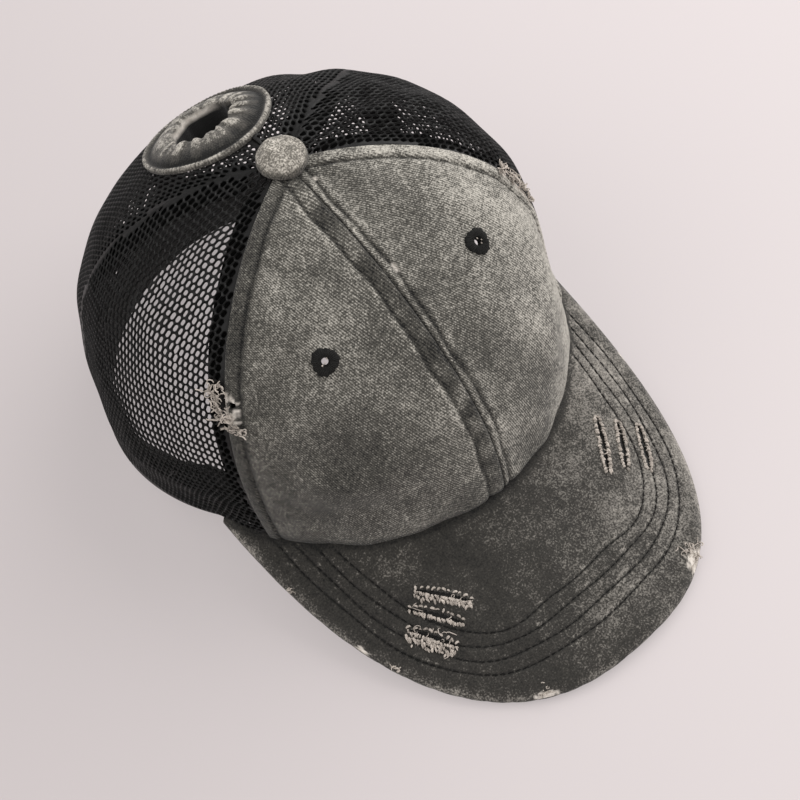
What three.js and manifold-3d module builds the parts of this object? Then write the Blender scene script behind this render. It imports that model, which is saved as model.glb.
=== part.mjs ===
// A ponytail baseball cap: two washed cotton front panels, four net panels, a gathered cotton ring
// round the ponytail hole, a covered top button and a curved visor. Millimetres, +Z up.
// The wearer faces -Y and the cap rests on the rim behind and on the sides of the visor.
import * as THREE from 'three';
import { mergeVertices } from 'three/addons/utils/BufferGeometryUtils.js';
import Module from 'manifold-3d';

const wasm = await Module();
wasm.setup();

// The crown. Reaches are from the head's axis to the rim, heights are above the table.
const FRONT_REACH = 97.7;
const SIDE_REACH = 84.4;
const BACK_REACH = 91.3;
const CROWN_HEIGHT = 122.6;
const FRONT_RIM_HEIGHT = 30.4;
const APEX_SETBACK = 3.9;
const TOP_HOLE_RADIUS = 3.2;

// Walls, and the gap between pieces that touch.
const COTTON_WALL = 1.5;
const NET_WALL = 1.2;
const TAPE_WALL = 0.9;
const SWEATBAND_WALL = 1.4;
const VISOR_CLOTH_WALL = 1.0;
const BOARD_WALL = 1.6;
const CLEARANCE = 0.3;

// Seams, bands and tapes.
const SIDE_SEAM_AT_RIM = 53.6;
const SIDE_SEAM_AT_TOP = 64.3;
const BACK_SEAM = 120;
const WELT_WIDTH = 4.7;
const WELT_RAISE = 0.7;
const FELL_WIDTH = 6.6;
const FELL_RAISE = 0.55;
const TAPE_WIDTH = 14;
const TAPE_CROWDING = 22;
const SWEATBAND_HEIGHT = 28;

// The visor. Its half width is the cloth's, and the board stays inside the edge by the hem.
const VISOR_REACH = 66.2;
const VISOR_HALF_WIDTH = 78.6;
const VISOR_CORNER = 65;
const VISOR_SQUARENESS = 2.45;
const VISOR_ARCH_RADIUS = 145.5;
const VISOR_HEM = 2.4;
const BOARD_CORNER_SETBACK = 6;
const SLASH_LENGTH = 21;
const SLASH_WIDTH = 1.7;

// Small pieces.
const BUTTON_RADIUS = 9;
const BUTTON_RISE = 6;
const BUTTON_SEAT = 0.93;
const BUTTON_EDGE = 1;
const SHANK_RADIUS = 2.6;
const EYELET_ANGLE = 31.7;
const EYELET_SHARE = 0.488;
const EYELET_RADIUS = 5;
const EYELET_HOLE_RADIUS = 1.7;
const EYELET_RAISE = 1.1;
const EYELET_LIP = 0.4;
const EYELET_SHOULDER = 0.92;
const EYELET_HOLE_EASE = 0.15;
const RING_ANGLE = -174.5;
const RING_SHARE = 0.731;
const RING_RADIUS = 25;
const RING_HOLE_RADIUS = 12.4;
const RING_WALL = 1.6;
const RING_WELT_RAISE = 1.5;
const RING_WELT_SHOULDER = 0.8;
const RING_WELT_CREST = 1.4;
const RING_WELT_FOOT = 3.6;
const RING_LIP_WIDTH = 0.9;
const RING_FIELD_THICKENING = 1.1;
const RING_MIDDLE_THICKENING = 1.15;
const RING_LIP_THICKENING = 1.3;
const RING_GATHER_DEPTH = 0.5;
const RING_GATHERS = 20;
const DENT_DEPTH = 3;

// The crown's section to the front, side and back: exponents of its plan and its lift, and how far
// it swells past an oval, as a share of the reach.
const SECTIONS = {
  front: { plan: 1.54, lift: 2.06, swell: 0.008 },
  side: { plan: 2.407, lift: 3.106, swell: 0.043 },
  back: { plan: 2.194, lift: 2.278, swell: 0.021 },
};

// Soft dents and swellings: angle and spread in degrees, height and its spread as shares of the
// rise, depth as a share of DENT_DEPTH, where a minus sign swells outwards.
const DENTS = [
  { angle: -84, spread: 24, height: 0.06, heightSpread: 0.13, depth: -0.85 },
  { angle: -112, spread: 12, height: 0.16, heightSpread: 0.2, depth: 0.45 },
  { angle: -34, spread: 14, height: 0.09, heightSpread: 0.035, depth: 0.4 },
  { angle: -30, spread: 15, height: 0.17, heightSpread: 0.04, depth: -0.3 },
  { angle: -40, spread: 10, height: 0.25, heightSpread: 0.045, depth: 0.3 },
  { angle: 38, spread: 13, height: 0.2, heightSpread: 0.1, depth: -0.45 },
  { angle: 51, spread: 9, height: 0.13, heightSpread: 0.13, depth: 1.4 },
  { angle: 60, spread: 12, height: 0.3, heightSpread: 0.12, depth: 0.35 },
  { angle: 148, spread: 16, height: 0.35, heightSpread: 0.18, depth: 0.3 },
];

// The cuts in the visor's top cloth: centre across as a share of the half width, centre forward of
// the rim as a share of the reach, heading in degrees from straight ahead, length as a share.
const SLASHES = [
  { across: 0.5, ahead: 0.12, heading: -31, length: 1 },
  { across: 0.582, ahead: 0.19, heading: -29, length: 0.9 },
  { across: 0.673, ahead: 0.25, heading: -27, length: 0.92 },
  { across: -0.525, ahead: 0.18, heading: 29, length: 0.95 },
  { across: -0.606, ahead: 0.225, heading: 27, length: 0.95 },
  { across: -0.698, ahead: 0.28, heading: 20, length: 0.97 },
];

// Grid steps of the walls.
const CROWN_ROWS = 13;
const ROW_EASE = 1.35;
const NET_COLUMNS = 8;
const FRONT_COLUMNS = 6;
const SWEATBAND_COLUMNS = 60;
const VISOR_COLUMNS = 30;
const VISOR_ROWS = 4;
const RING_COLUMNS = 80;
const EYELET_COLUMNS = 18;
const HOLE_SIDES = 20;
const CUTTER_LENGTH = 30;
const BUTTON_COLUMNS = 22;

const PI = Math.PI;
const VISOR_HALF = BOARD_WALL / 2 + CLEARANCE + VISOR_CLOTH_WALL;
const VISOR_TOP_AT_RIM = FRONT_RIM_HEIGHT - CLEARANCE;
const CORNER_MARGIN = 1;
const FLAT_BACK_SHARE = 0.8;
const RIM_FALL = 1.8;
const rad = (degrees) => (degrees * PI) / 180;
const mix = (a, b, share) => a + (b - a) * share;
const clamp01 = (value) => Math.min(1, Math.max(0, value));
const smooth = (value) => clamp01(value) ** 2 * (3 - 2 * clamp01(value));
const range = (count) => Array.from({ length: count + 1 }, (_, i) => i / count);

// A value between those of the front, side and back sections, for an angle from the front.
function sectionValue(angle, name) {
  const ahead = Math.cos(angle);
  const end = ahead > 0 ? SECTIONS.front[name] : SECTIONS.back[name];
  return mix(SECTIONS.side[name], end, ahead * ahead);
}

// How far the rim reaches from the head's axis at an angle from the front.
function rimReach(angle) {
  const along = Math.cos(angle) > 0 ? FRONT_REACH : BACK_REACH;
  return 1 / Math.hypot(Math.cos(angle) / along, Math.sin(angle) / SIDE_REACH);
}

// The visor's mid surface: a cylinder arch that slopes down until its underside meets the table.
function archDrop(x) {
  return VISOR_ARCH_RADIUS - Math.sqrt(Math.max(0, VISOR_ARCH_RADIUS ** 2 - x ** 2));
}

function visorOutline(share, hem) {
  const turn = (share * PI) / 2;
  const corner = cornerPoint();
  const power = 2 / VISOR_SQUARENESS;
  const across = (VISOR_HALF_WIDTH - hem) * Math.sign(turn) * Math.abs(Math.sin(turn)) ** power;
  const depth = FRONT_REACH + VISOR_REACH + corner.y - hem * 2;
  return { x: across, y: corner.y - hem - depth * Math.abs(Math.cos(turn)) ** power };
}

function cornerPoint() {
  const reach = rimReach(rad(VISOR_CORNER));
  return { x: reach * Math.sin(rad(VISOR_CORNER)), y: -reach * Math.cos(rad(VISOR_CORNER)) };
}

function findVisorSlope() {
  const start = VISOR_TOP_AT_RIM - 2 * VISOR_HALF;
  const slopes = range(60).map((share) => {
    const point = visorOutline(share, 0);
    const ahead = -point.y - FRONT_REACH;
    return ahead > 5 ? (start - archDrop(point.x)) / ahead : Infinity;
  });
  return Math.min(...slopes);
}

const VISOR_SLOPE = findVisorSlope();

function visorMid(x, y) {
  const ahead = -y - FRONT_REACH;
  return VISOR_TOP_AT_RIM - VISOR_HALF - VISOR_SLOPE * ahead - archDrop(x);
}

// The rim rests on the visor in front, where its inner edge is the higher on the slope, falls at
// the sides and lies flat on the table behind.
function rimHeight(angle) {
  const corner = rad(VISOR_CORNER);
  const turn = Math.min(Math.abs(angle), corner);
  const reach = rimReach(turn) - COTTON_WALL;
  const onVisor = visorMid(reach * Math.sin(turn), -reach * Math.cos(turn)) + VISOR_HALF + CLEARANCE;
  const past = Math.max(0, Math.abs(angle) - corner - rad(CORNER_MARGIN)) / (PI - corner);
  return onVisor * Math.max(0, 1 - past / FLAT_BACK_SHARE) ** RIM_FALL;
}

function dentDepth(angle, height) {
  const depths = DENTS.map((dent) => {
    const turn = (angle - rad(dent.angle)) / rad(dent.spread);
    const rise = (height - dent.height) / dent.heightSpread;
    return dent.depth * DENT_DEPTH * Math.exp(-turn * turn - rise * rise);
  });
  const fade = smooth(height / 0.06);
  return fade * depths.reduce((sum, depth) => sum + depth, 0);
}

// A point of the crown: angle from the front, share of the quarter turn from rim to apex, and the
// inset in mm behind the outer face.
function crownPoint(angle, share, inset) {
  const turn = (share * PI) / 2;
  const swell = 1 + sectionValue(angle, 'swell') * Math.sin(PI * Math.min(1.3 * share, 1));
  const plan = Math.max(0, Math.cos(turn)) ** (2 / sectionValue(angle, 'plan')) * swell;
  const lift = Math.sin(turn) ** (2 / sectionValue(angle, 'lift'));
  const reach = (rimReach(angle) - inset - dentDepth(angle, share)) * plan;
  const rim = rimHeight(angle);
  const z = rim + (CROWN_HEIGHT - inset - rim) * lift;
  return new THREE.Vector3(reach * Math.sin(angle), APEX_SETBACK * lift - reach * Math.cos(angle), z);
}

// The share where the crown's plan has shrunk to a radius round the apex.
function shareAtRadius(angle, radius) {
  const ratio = Math.min(1, radius / rimReach(angle));
  return Math.acos(ratio ** (sectionValue(angle, 'plan') / 2)) / (PI / 2);
}

function shareAtHeight(angle, height) {
  const ratio = clamp01(height / (CROWN_HEIGHT - rimHeight(angle)));
  return Math.asin(ratio ** (sectionValue(angle, 'lift') / 2)) / (PI / 2);
}

function planRadius(angle, share) {
  const point = crownPoint(angle, share, 0);
  return Math.hypot(point.x, point.y - APEX_SETBACK);
}

const sideSeam = (side, row) => side * rad(mix(SIDE_SEAM_AT_RIM, SIDE_SEAM_AT_TOP, row));
const backSeam = (side) => side * rad(BACK_SEAM);
const rowShare = (angle, row) => row ** ROW_EASE * shareAtRadius(angle, TOP_HOLE_RADIUS);

// A closed wall between an outer and an inner face, each a grid of points, rows by columns.
function wallGeometry(outer, inner, loops) {
  const rows = outer.length;
  const columns = outer[0].length;
  const positions = [...outer.flat(), ...inner.flat()].flatMap((point) => point.toArray());
  const index = [];
  const at = (face, row, column) => face * rows * columns + row * columns + (column % columns);
  const quad = (a, b, c, d) => index.push(a, b, c, a, c, d);
  const last = loops ? columns : columns - 1;
  for (let row = 0; row < rows - 1; row += 1) {
    for (let column = 0; column < last; column += 1) {
      const next = column + 1;
      quad(at(0, row, column), at(0, row, next), at(0, row + 1, next), at(0, row + 1, column));
      quad(at(1, row, column), at(1, row + 1, column), at(1, row + 1, next), at(1, row, next));
    }
  }
  for (let column = 0; column < last; column += 1) {
    const next = column + 1;
    quad(at(0, 0, column), at(1, 0, column), at(1, 0, next), at(0, 0, next));
    quad(at(0, rows - 1, column), at(0, rows - 1, next), at(1, rows - 1, next), at(1, rows - 1, column));
  }
  for (let row = 0; row < rows - 1 && !loops; row += 1) {
    const end = columns - 1;
    quad(at(0, row, 0), at(0, row + 1, 0), at(1, row + 1, 0), at(1, row, 0));
    quad(at(0, row, end), at(1, row, end), at(1, row + 1, end), at(0, row + 1, end));
  }
  const geometry = new THREE.BufferGeometry();
  geometry.setAttribute('position', new THREE.Float32BufferAttribute(positions, 3));
  geometry.setIndex(index);
  return geometry;
}

// Booleans by code on merged, closed geometry.
function toSolid(geometry) {
  const plain = geometry.clone();
  plain.deleteAttribute('normal');
  plain.deleteAttribute('uv');
  const merged = mergeVertices(plain, 1e-4);
  const vertProperties = new Float32Array(merged.attributes.position.array);
  const triVerts = new Uint32Array(merged.index.array);
  return new wasm.Manifold(new wasm.Mesh({ numProp: 3, vertProperties, triVerts }));
}

function toGeometry(solid) {
  const mesh = solid.getMesh();
  const geometry = new THREE.BufferGeometry();
  geometry.setAttribute('position', new THREE.BufferAttribute(mesh.vertProperties, 3));
  geometry.setIndex(new THREE.BufferAttribute(mesh.triVerts, 1));
  return geometry;
}

function cut(geometry, cutters) {
  return toGeometry(cutters.reduce((solid, cutter) => solid.subtract(toSolid(cutter)), toSolid(geometry)));
}

// A flat frame on the crown's outer face, to lay out rings and holes round its centre.
function crownFrame(angle, share) {
  const step = 0.002;
  const origin = crownPoint(angle, share, 0);
  const across = crownPoint(angle + step, share, 0).sub(crownPoint(angle - step, share, 0));
  const up = crownPoint(angle, share + step, 0).sub(crownPoint(angle, share - step, 0));
  const normal = across.clone().cross(up).normalize();
  const right = across.normalize();
  return { angle, share, origin, right, up: normal.clone().cross(right), normal };
}

// The crown's angle and share under a point (a, b) of a frame, by Newton steps along its normal.
function crownUnder(frame, a, b) {
  const step = 1e-4;
  let { angle, share } = frame;
  const flat = (turn, rise) => {
    const offset = crownPoint(turn, rise, 0).sub(frame.origin);
    return [offset.dot(frame.right), offset.dot(frame.up)];
  };
  for (let round = 0; round < 12; round += 1) {
    const [x, y] = flat(angle, share);
    const [xa, ya] = flat(angle + step, share);
    const [xs, ys] = flat(angle, share + step);
    const slopes = [(xa - x) / step, (xs - x) / step, (ya - y) / step, (ys - y) / step];
    const size = slopes[0] * slopes[3] - slopes[1] * slopes[2];
    angle += ((a - x) * slopes[3] - (b - y) * slopes[1]) / size;
    share += ((b - y) * slopes[0] - (a - x) * slopes[2]) / size;
  }
  return { angle, share };
}

// A ring round a frame's centre that follows the crown. The section lists radius and height over
// the outer face, anticlockwise seen with the radius to the right, and wave changes both.
function ringOnCrown(frame, section, columns, wave) {
  const turns = range(columns).slice(0, columns);
  const loopAt = (place) => turns.map((share) => {
    const turn = share * 2 * PI;
    const { radius, height } = wave(place, turn);
    const under = crownUnder(frame, radius * Math.cos(turn), radius * Math.sin(turn));
    return crownPoint(under.angle, under.share, -height);
  });
  const loops = section.map(loopAt);
  const positions = loops.flat().flatMap((point) => point.toArray());
  const index = [];
  const at = (place, column) => (place % section.length) * columns + (column % columns);
  for (let place = 0; place < section.length; place += 1) {
    for (let column = 0; column < columns; column += 1) {
      const [a, b] = [at(place, column), at(place, column + 1)];
      const [c, d] = [at(place + 1, column + 1), at(place + 1, column)];
      index.push(a, b, c, a, c, d);
    }
  }
  const geometry = new THREE.BufferGeometry();
  geometry.setAttribute('position', new THREE.Float32BufferAttribute(positions, 3));
  geometry.setIndex(index);
  return geometry;
}

// A round cutter through the wall at a frame.
function roundCutter(frame, radius, length, sides) {
  const geometry = new THREE.CylinderGeometry(radius, radius, length, sides);
  const turn = new THREE.Quaternion().setFromUnitVectors(new THREE.Vector3(0, 1, 0), frame.normal);
  return geometry.applyQuaternion(turn).translate(...frame.origin.toArray());
}

// The columns of a gore: a band at each end with four places, and even steps between.
function goreColumns(width, startBand, endBand, steps) {
  const start = Math.min(startBand / width, 0.35);
  const end = Math.min(endBand / width, 0.35);
  const bandPlaces = [0, 0.2, 0.8, 1];
  const raised = [0.4, 1, 1, 0];
  const columns = bandPlaces.map((place, i) => ({ share: place * start, start: raised[i], end: 0 }));
  range(steps).slice(1, steps).forEach((share) => {
    columns.push({ share: mix(start, 1 - end, share), start: 0, end: 0 });
  });
  bandPlaces.map((place, i) => ({ share: 1 - place * end, start: 0, end: raised[i] }))
    .reverse().forEach((column) => columns.push(column));
  return columns;
}

// A front panel, from its side seam to the seam in the middle. Its edge is rolled into a welt at
// the side, and on the wearer's right the middle seam is felled into a raised band.
function frontPanel(side) {
  const fell = side < 0 ? FELL_RAISE : FELL_RAISE * 0.25;
  const faces = [[], []];
  range(CROWN_ROWS).forEach((row) => {
    const seam = sideSeam(side, row);
    const reach = planRadius(seam / 2, rowShare(seam / 2, row));
    const gap = CLEARANCE / 2 / Math.max(reach, TOP_HOLE_RADIUS);
    const from = Math.abs(seam) - gap;
    const columns = goreColumns(reach * (from - gap), WELT_WIDTH, FELL_WIDTH, FRONT_COLUMNS);
    const line = side < 0 ? columns : columns.reverse();
    const point = (column, inset) => {
      const angle = side * mix(from, gap, column.share);
      return crownPoint(angle, rowShare(angle, row), inset);
    };
    faces[0].push(line.map((column) => point(column, -column.start * WELT_RAISE - column.end * fell)));
    faces[1].push(line.map((column) => point(column, COTTON_WALL)));
  });
  const wall = wallGeometry(faces[0], faces[1], false);
  const hole = EYELET_HOLE_RADIUS + EYELET_LIP + CLEARANCE;
  return cut(wall, [roundCutter(eyeletFrame(side), hole, CUTTER_LENGTH, HOLE_SIDES)]);
}

// A plain gore of the crown between two seams, each given as an angle for a row. The columns are
// shares of the way between them.
function gore(from, to, columns, inset, wall, rows) {
  const faces = [[], []];
  rows.forEach((row) => {
    const middle = (from(row) + to(row)) / 2;
    const gap = CLEARANCE / 2 / Math.max(planRadius(middle, rowShare(middle, row)), TOP_HOLE_RADIUS);
    const place = (share, depth) => {
      const angle = mix(from(row) + gap, to(row) - gap, share);
      return crownPoint(angle, rowShare(angle, row), depth);
    };
    faces[0].push(columns.map((share) => place(share, inset)));
    faces[1].push(columns.map((share) => place(share, inset + wall)));
  });
  return wallGeometry(faces[0], faces[1], false);
}

// A side net panel, with a column where its rim leaves the corner of the visor.
function netSide(side) {
  const corner = (VISOR_CORNER + CORNER_MARGIN - SIDE_SEAM_AT_RIM) / (BACK_SEAM - SIDE_SEAM_AT_RIM);
  const steps = range(NET_COLUMNS).map((share) => mix(corner, 1, share));
  const columns = [0, corner / 2, ...steps];
  if (side > 0) {
    return gore((row) => sideSeam(1, row), () => backSeam(1), columns, 0, NET_WALL, range(CROWN_ROWS));
  }
  const mirrored = columns.map((share) => 1 - share).reverse();
  return gore(() => backSeam(-1), (row) => sideSeam(-1, row), mirrored, 0, NET_WALL, range(CROWN_ROWS));
}

function netBack(side) {
  const ends = [() => backSeam(side), () => side * PI];
  const [from, to] = side > 0 ? ends : ends.reverse();
  const wall = gore(from, to, range(NET_COLUMNS), 0, NET_WALL, range(CROWN_ROWS));
  const hole = RING_HOLE_RADIUS + RING_WALL + CLEARANCE;
  return cut(wall, [roundCutter(ringFrame(), hole, CUTTER_LENGTH, HOLE_SIDES * 2)]);
}

// A strip behind a seam, tapering where the seams crowd at the top.
function tape(seam, lastRow) {
  const rows = range(CROWN_ROWS).filter((row) => row <= lastRow && row > 0.05);
  const half = (row) => {
    const reach = planRadius(seam(row), rowShare(seam(row), row));
    return Math.min(TAPE_WIDTH / 2 / reach, rad(TAPE_CROWDING));
  };
  const from = (row) => seam(row) - half(row);
  const to = (row) => seam(row) + half(row);
  const inset = Math.max(COTTON_WALL, NET_WALL) + CLEARANCE;
  return gore(from, to, range(2), inset, TAPE_WALL, rows);
}

// The band inside the rim: its foot is sewn to the crown, and above that it passes the tapes.
function sweatband() {
  const footInset = Math.max(COTTON_WALL, NET_WALL) + CLEARANCE;
  const fullInset = footInset + TAPE_WALL + CLEARANCE * 1.6;
  const heights = [0.02, 0.1, 0.4, 0.7, 1];
  const turns = range(SWEATBAND_COLUMNS).slice(0, SWEATBAND_COLUMNS);
  const face = (extra) => heights.map((height, row) => turns.map((share) => {
    const angle = (share - 0.5) * 2 * PI;
    const inset = (row === 0 ? footInset : fullInset) + extra;
    return crownPoint(angle, shareAtHeight(angle, height * SWEATBAND_HEIGHT), inset);
  }));
  return wallGeometry(face(0), face(SWEATBAND_WALL), true);
}

// One layer of the visor between two heights over its mid surface, as functions of the distance
// from the edge.
function visorLayer(hem, corner, low, high) {
  const columns = range(VISOR_COLUMNS).map((share) => share * 2 - 1);
  const lineAt = (share) => {
    const angle = share * rad(corner);
    const reach = rimReach(angle) - COTTON_WALL;
    const inner = { x: reach * Math.sin(angle), y: -reach * Math.cos(angle) };
    const outer = visorOutline(share, hem);
    const length = Math.hypot(outer.x - inner.x, outer.y - inner.y);
    const hemShare = Math.min(VISOR_HEM / length, 0.4);
    const rows = [...range(VISOR_ROWS).map((row) => row * (1 - hemShare)), 1];
    return rows.map((row) => {
      const x = mix(inner.x, outer.x, row);
      const y = mix(inner.y, outer.y, row);
      return { x, y, edge: length * (1 - row) + hem };
    });
  };
  const lines = columns.map(lineAt);
  const face = (height) => lines[0].map((_, row) => lines.map((line) => {
    const { x, y, edge } = line[row];
    return new THREE.Vector3(x, y, visorMid(x, y) + height(edge));
  }));
  return wallGeometry(face(low), face(high), false);
}

const coreHalf = (edge) => mix(CLEARANCE / 2, BOARD_WALL / 2 + CLEARANCE, smooth(edge / VISOR_HEM));

function slashCutter(slash) {
  const half = (SLASH_LENGTH * slash.length) / 2;
  const lens = new THREE.Shape();
  lens.moveTo(0, -half);
  lens.quadraticCurveTo(SLASH_WIDTH, 0, 0, half);
  lens.quadraticCurveTo(-SLASH_WIDTH, 0, 0, -half);
  const depth = CROWN_HEIGHT;
  const geometry = new THREE.ExtrudeGeometry(lens, { depth, bevelEnabled: false, curveSegments: 6 });
  const y = -FRONT_REACH - slash.ahead * VISOR_REACH;
  return geometry.rotateZ(rad(slash.heading)).translate(slash.across * VISOR_HALF_WIDTH, y, 0);
}

function visorTopCloth() {
  const high = (edge) => coreHalf(edge) + VISOR_CLOTH_WALL;
  return cut(visorLayer(0, VISOR_CORNER, coreHalf, high), SLASHES.map(slashCutter));
}

function visorUnderCloth() {
  const low = (edge) => -coreHalf(edge) - VISOR_CLOTH_WALL;
  return visorLayer(0, VISOR_CORNER, low, (edge) => -coreHalf(edge));
}

function visorBoard() {
  const corner = VISOR_CORNER - BOARD_CORNER_SETBACK;
  return visorLayer(VISOR_HEM, corner, () => -BOARD_WALL / 2, () => BOARD_WALL / 2);
}

// The covered button: a dome whose underside lies on the welts where the panels meet, with a shank
// through the hole between them.
function topButton() {
  const turns = range(BUTTON_COLUMNS).map((share) => share * 2 * PI);
  const brim = BUTTON_RADIUS * BUTTON_SEAT;
  const under = range(4).map((share) => {
    const radius = mix(SHANK_RADIUS, brim, share);
    const heights = turns.map((turn) => crownPoint(turn, shareAtRadius(turn, radius), 0).z);
    return [radius, Math.max(...heights) + Math.max(WELT_RAISE, FELL_RAISE) + CLEARANCE];
  });
  const base = under[under.length - 1][1] + BUTTON_EDGE;
  const foot = CROWN_HEIGHT - COTTON_WALL;
  const dome = BUTTON_RISE - BUTTON_EDGE;
  const top = range(7).map((share) => {
    const turn = (share * PI) / 2;
    return [share < 1 ? BUTTON_RADIUS * Math.cos(turn) : 0, base + dome * Math.sin(turn)];
  });
  const profile = [[0, foot], [SHANK_RADIUS, foot], ...under, ...top];
  const geometry = new THREE.LatheGeometry(profile.map(([x, y]) => new THREE.Vector2(x, y)), BUTTON_COLUMNS);
  return geometry.rotateX(PI / 2).translate(0, APEX_SETBACK, 0);
}

function eyeletFrame(side) {
  return crownFrame(side * rad(EYELET_ANGLE), EYELET_SHARE);
}

// A stitched eyelet: a rounded ring on the cloth with a lip down through the hole.
function eyelet(side) {
  const hole = EYELET_HOLE_RADIUS;
  const low = CLEARANCE;
  const section = [
    { radius: hole, height: -COTTON_WALL }, { radius: hole + EYELET_LIP, height: -COTTON_WALL },
    { radius: hole + EYELET_LIP, height: low }, { radius: EYELET_RADIUS, height: low },
    { radius: EYELET_RADIUS * EYELET_SHOULDER, height: low + EYELET_RAISE * 0.7 },
    { radius: mix(hole, EYELET_RADIUS, 0.5), height: low + EYELET_RAISE },
    { radius: hole + EYELET_HOLE_EASE, height: low + EYELET_RAISE * 0.8 },
  ];
  return ringOnCrown(eyeletFrame(side), section, EYELET_COLUMNS, (place) => place);
}

// The row where the middle seam behind meets the foot of the ring.
function ringFootRow() {
  const foot = crownUnder(ringFrame(), 0, -RING_RADIUS);
  return (foot.share / shareAtRadius(PI, TOP_HOLE_RADIUS)) ** (1 / ROW_EASE);
}

const ringFrame = () => crownFrame(rad(RING_ANGLE), RING_SHARE);

// The ponytail ring: washed cotton gathered round the hole, with a raised rolled outer edge and a
// lip that binds the edge of the net.
function ponytailRing() {
  const low = CLEARANCE;
  const hole = RING_HOLE_RADIUS;
  const middle = mix(hole, RING_RADIUS, 0.45);
  const section = [
    { radius: hole, height: -NET_WALL, wave: 0.6 }, { radius: hole + RING_WALL, height: -NET_WALL, wave: 0 },
    { radius: hole + RING_WALL, height: low, wave: 0 },
    { radius: RING_RADIUS - RING_WELT_SHOULDER, height: low, wave: 0 },
    { radius: RING_RADIUS, height: low + RING_WALL / 2, wave: 0 },
    { radius: RING_RADIUS - RING_WELT_CREST, height: low + RING_WALL + RING_WELT_RAISE, wave: 0 },
    { radius: RING_RADIUS - RING_WELT_FOOT, height: low + RING_WALL * RING_FIELD_THICKENING, wave: 0.3 },
    { radius: middle, height: low + RING_WALL * RING_MIDDLE_THICKENING, wave: 1 },
    { radius: hole + RING_LIP_WIDTH, height: low + RING_WALL * RING_LIP_THICKENING, wave: 1 },
  ];
  const wave = (place, turn) => {
    const gather = RING_GATHER_DEPTH * place.wave * Math.cos(RING_GATHERS * turn);
    const inner = place.radius < middle ? gather : 0;
    return { radius: place.radius + inner, height: place.height + (place.height > 0 ? gather : 0) };
  };
  return ringOnCrown(ringFrame(), section, RING_COLUMNS, wave);
}

const WASHED_COTTON = { color: 0x6f6d69, roughness: 0.95, metalness: 0 };
const VISOR_COTTON = { color: 0x54524f, roughness: 0.95, metalness: 0 };
const NET = { color: 0x17161a, roughness: 0.6, metalness: 0 };
const TAPE = { color: 0x131214, roughness: 0.9, metalness: 0 };
const BAND = { color: 0x1c1b1d, roughness: 0.95, metalness: 0 };
const BOARD = { color: 0x1b1a19, roughness: 0.8, metalness: 0 };
const THREAD = { color: 0x2a2928, roughness: 0.8, metalness: 0 };

const cap = new THREE.Group();

function add(name, geometry, material) {
  const mesh = new THREE.Mesh(geometry, new THREE.MeshStandardMaterial(material));
  mesh.name = name;
  cap.add(mesh);
}

const SIDES = [['left', 1], ['right', -1]];
const TAPE_LAST_ROW = 0.95;

SIDES.forEach(([word, side]) => {
  add(`front_panel_${word}`, frontPanel(side), WASHED_COTTON);
  add(`net_side_${word}`, netSide(side), NET);
  add(`net_back_${word}`, netBack(side), NET);
  add(`seam_tape_side_${word}`, tape((row) => sideSeam(side, row), TAPE_LAST_ROW), TAPE);
  add(`seam_tape_back_${word}`, tape(() => backSeam(side), TAPE_LAST_ROW), TAPE);
  add(`eyelet_${word}`, eyelet(side), THREAD);
});
add('seam_tape_centre', tape(() => PI, ringFootRow()), TAPE);
add('sweatband', sweatband(), BAND);
add('visor_top_cloth', visorTopCloth(), VISOR_COTTON);
add('visor_board', visorBoard(), BOARD);
add('visor_under_cloth', visorUnderCloth(), VISOR_COTTON);
add('top_button', topButton(), WASHED_COTTON);
add('ponytail_ring', ponytailRing(), WASHED_COTTON);

// The origin is the middle of the underside of the cap's box.
const box = new THREE.Box3().setFromObject(cap);
const centre = box.getCenter(new THREE.Vector3());
cap.position.set(-centre.x, -centre.y, -box.min.z);

export default cap;
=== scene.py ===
"""Visual model of a ponytail baseball cap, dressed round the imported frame.

Washed cotton front panels and visor, black net gores, a gathered cotton ring round the ponytail
hole, a covered button, stitches, worn cuts and frayed threads. Sizes are in millimetres in the
classes below, and meshes are in metres in the frame.
"""
from __future__ import annotations

import logging
import math
from dataclasses import dataclass, field
from enum import Enum

import bpy
import numpy as np
from mathutils import Matrix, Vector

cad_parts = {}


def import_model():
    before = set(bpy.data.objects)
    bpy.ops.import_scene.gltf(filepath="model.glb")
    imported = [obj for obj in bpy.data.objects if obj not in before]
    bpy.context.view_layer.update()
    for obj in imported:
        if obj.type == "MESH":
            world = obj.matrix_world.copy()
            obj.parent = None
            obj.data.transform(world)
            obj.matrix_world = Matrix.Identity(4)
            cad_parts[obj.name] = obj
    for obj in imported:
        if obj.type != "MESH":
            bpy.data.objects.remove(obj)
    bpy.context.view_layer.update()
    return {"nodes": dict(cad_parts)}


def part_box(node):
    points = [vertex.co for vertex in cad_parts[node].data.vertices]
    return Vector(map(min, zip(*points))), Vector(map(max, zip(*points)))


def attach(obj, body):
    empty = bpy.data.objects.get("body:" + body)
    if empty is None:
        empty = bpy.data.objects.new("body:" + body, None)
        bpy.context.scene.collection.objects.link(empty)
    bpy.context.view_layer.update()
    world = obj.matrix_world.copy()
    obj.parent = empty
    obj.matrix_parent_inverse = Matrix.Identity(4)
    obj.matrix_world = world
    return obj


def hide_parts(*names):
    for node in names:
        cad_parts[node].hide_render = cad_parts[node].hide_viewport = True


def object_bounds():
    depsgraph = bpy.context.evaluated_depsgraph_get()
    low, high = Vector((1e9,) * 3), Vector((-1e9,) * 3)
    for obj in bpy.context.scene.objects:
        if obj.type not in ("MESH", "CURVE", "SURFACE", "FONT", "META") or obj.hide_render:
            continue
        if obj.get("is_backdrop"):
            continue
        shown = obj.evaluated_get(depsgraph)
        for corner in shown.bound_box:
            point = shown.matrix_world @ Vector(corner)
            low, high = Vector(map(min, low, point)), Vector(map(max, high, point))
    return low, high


logging.basicConfig(level=logging.INFO, format="%(message)s")
log = logging.getLogger("cap")

MM = 0.001
BODY = "root"


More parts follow.
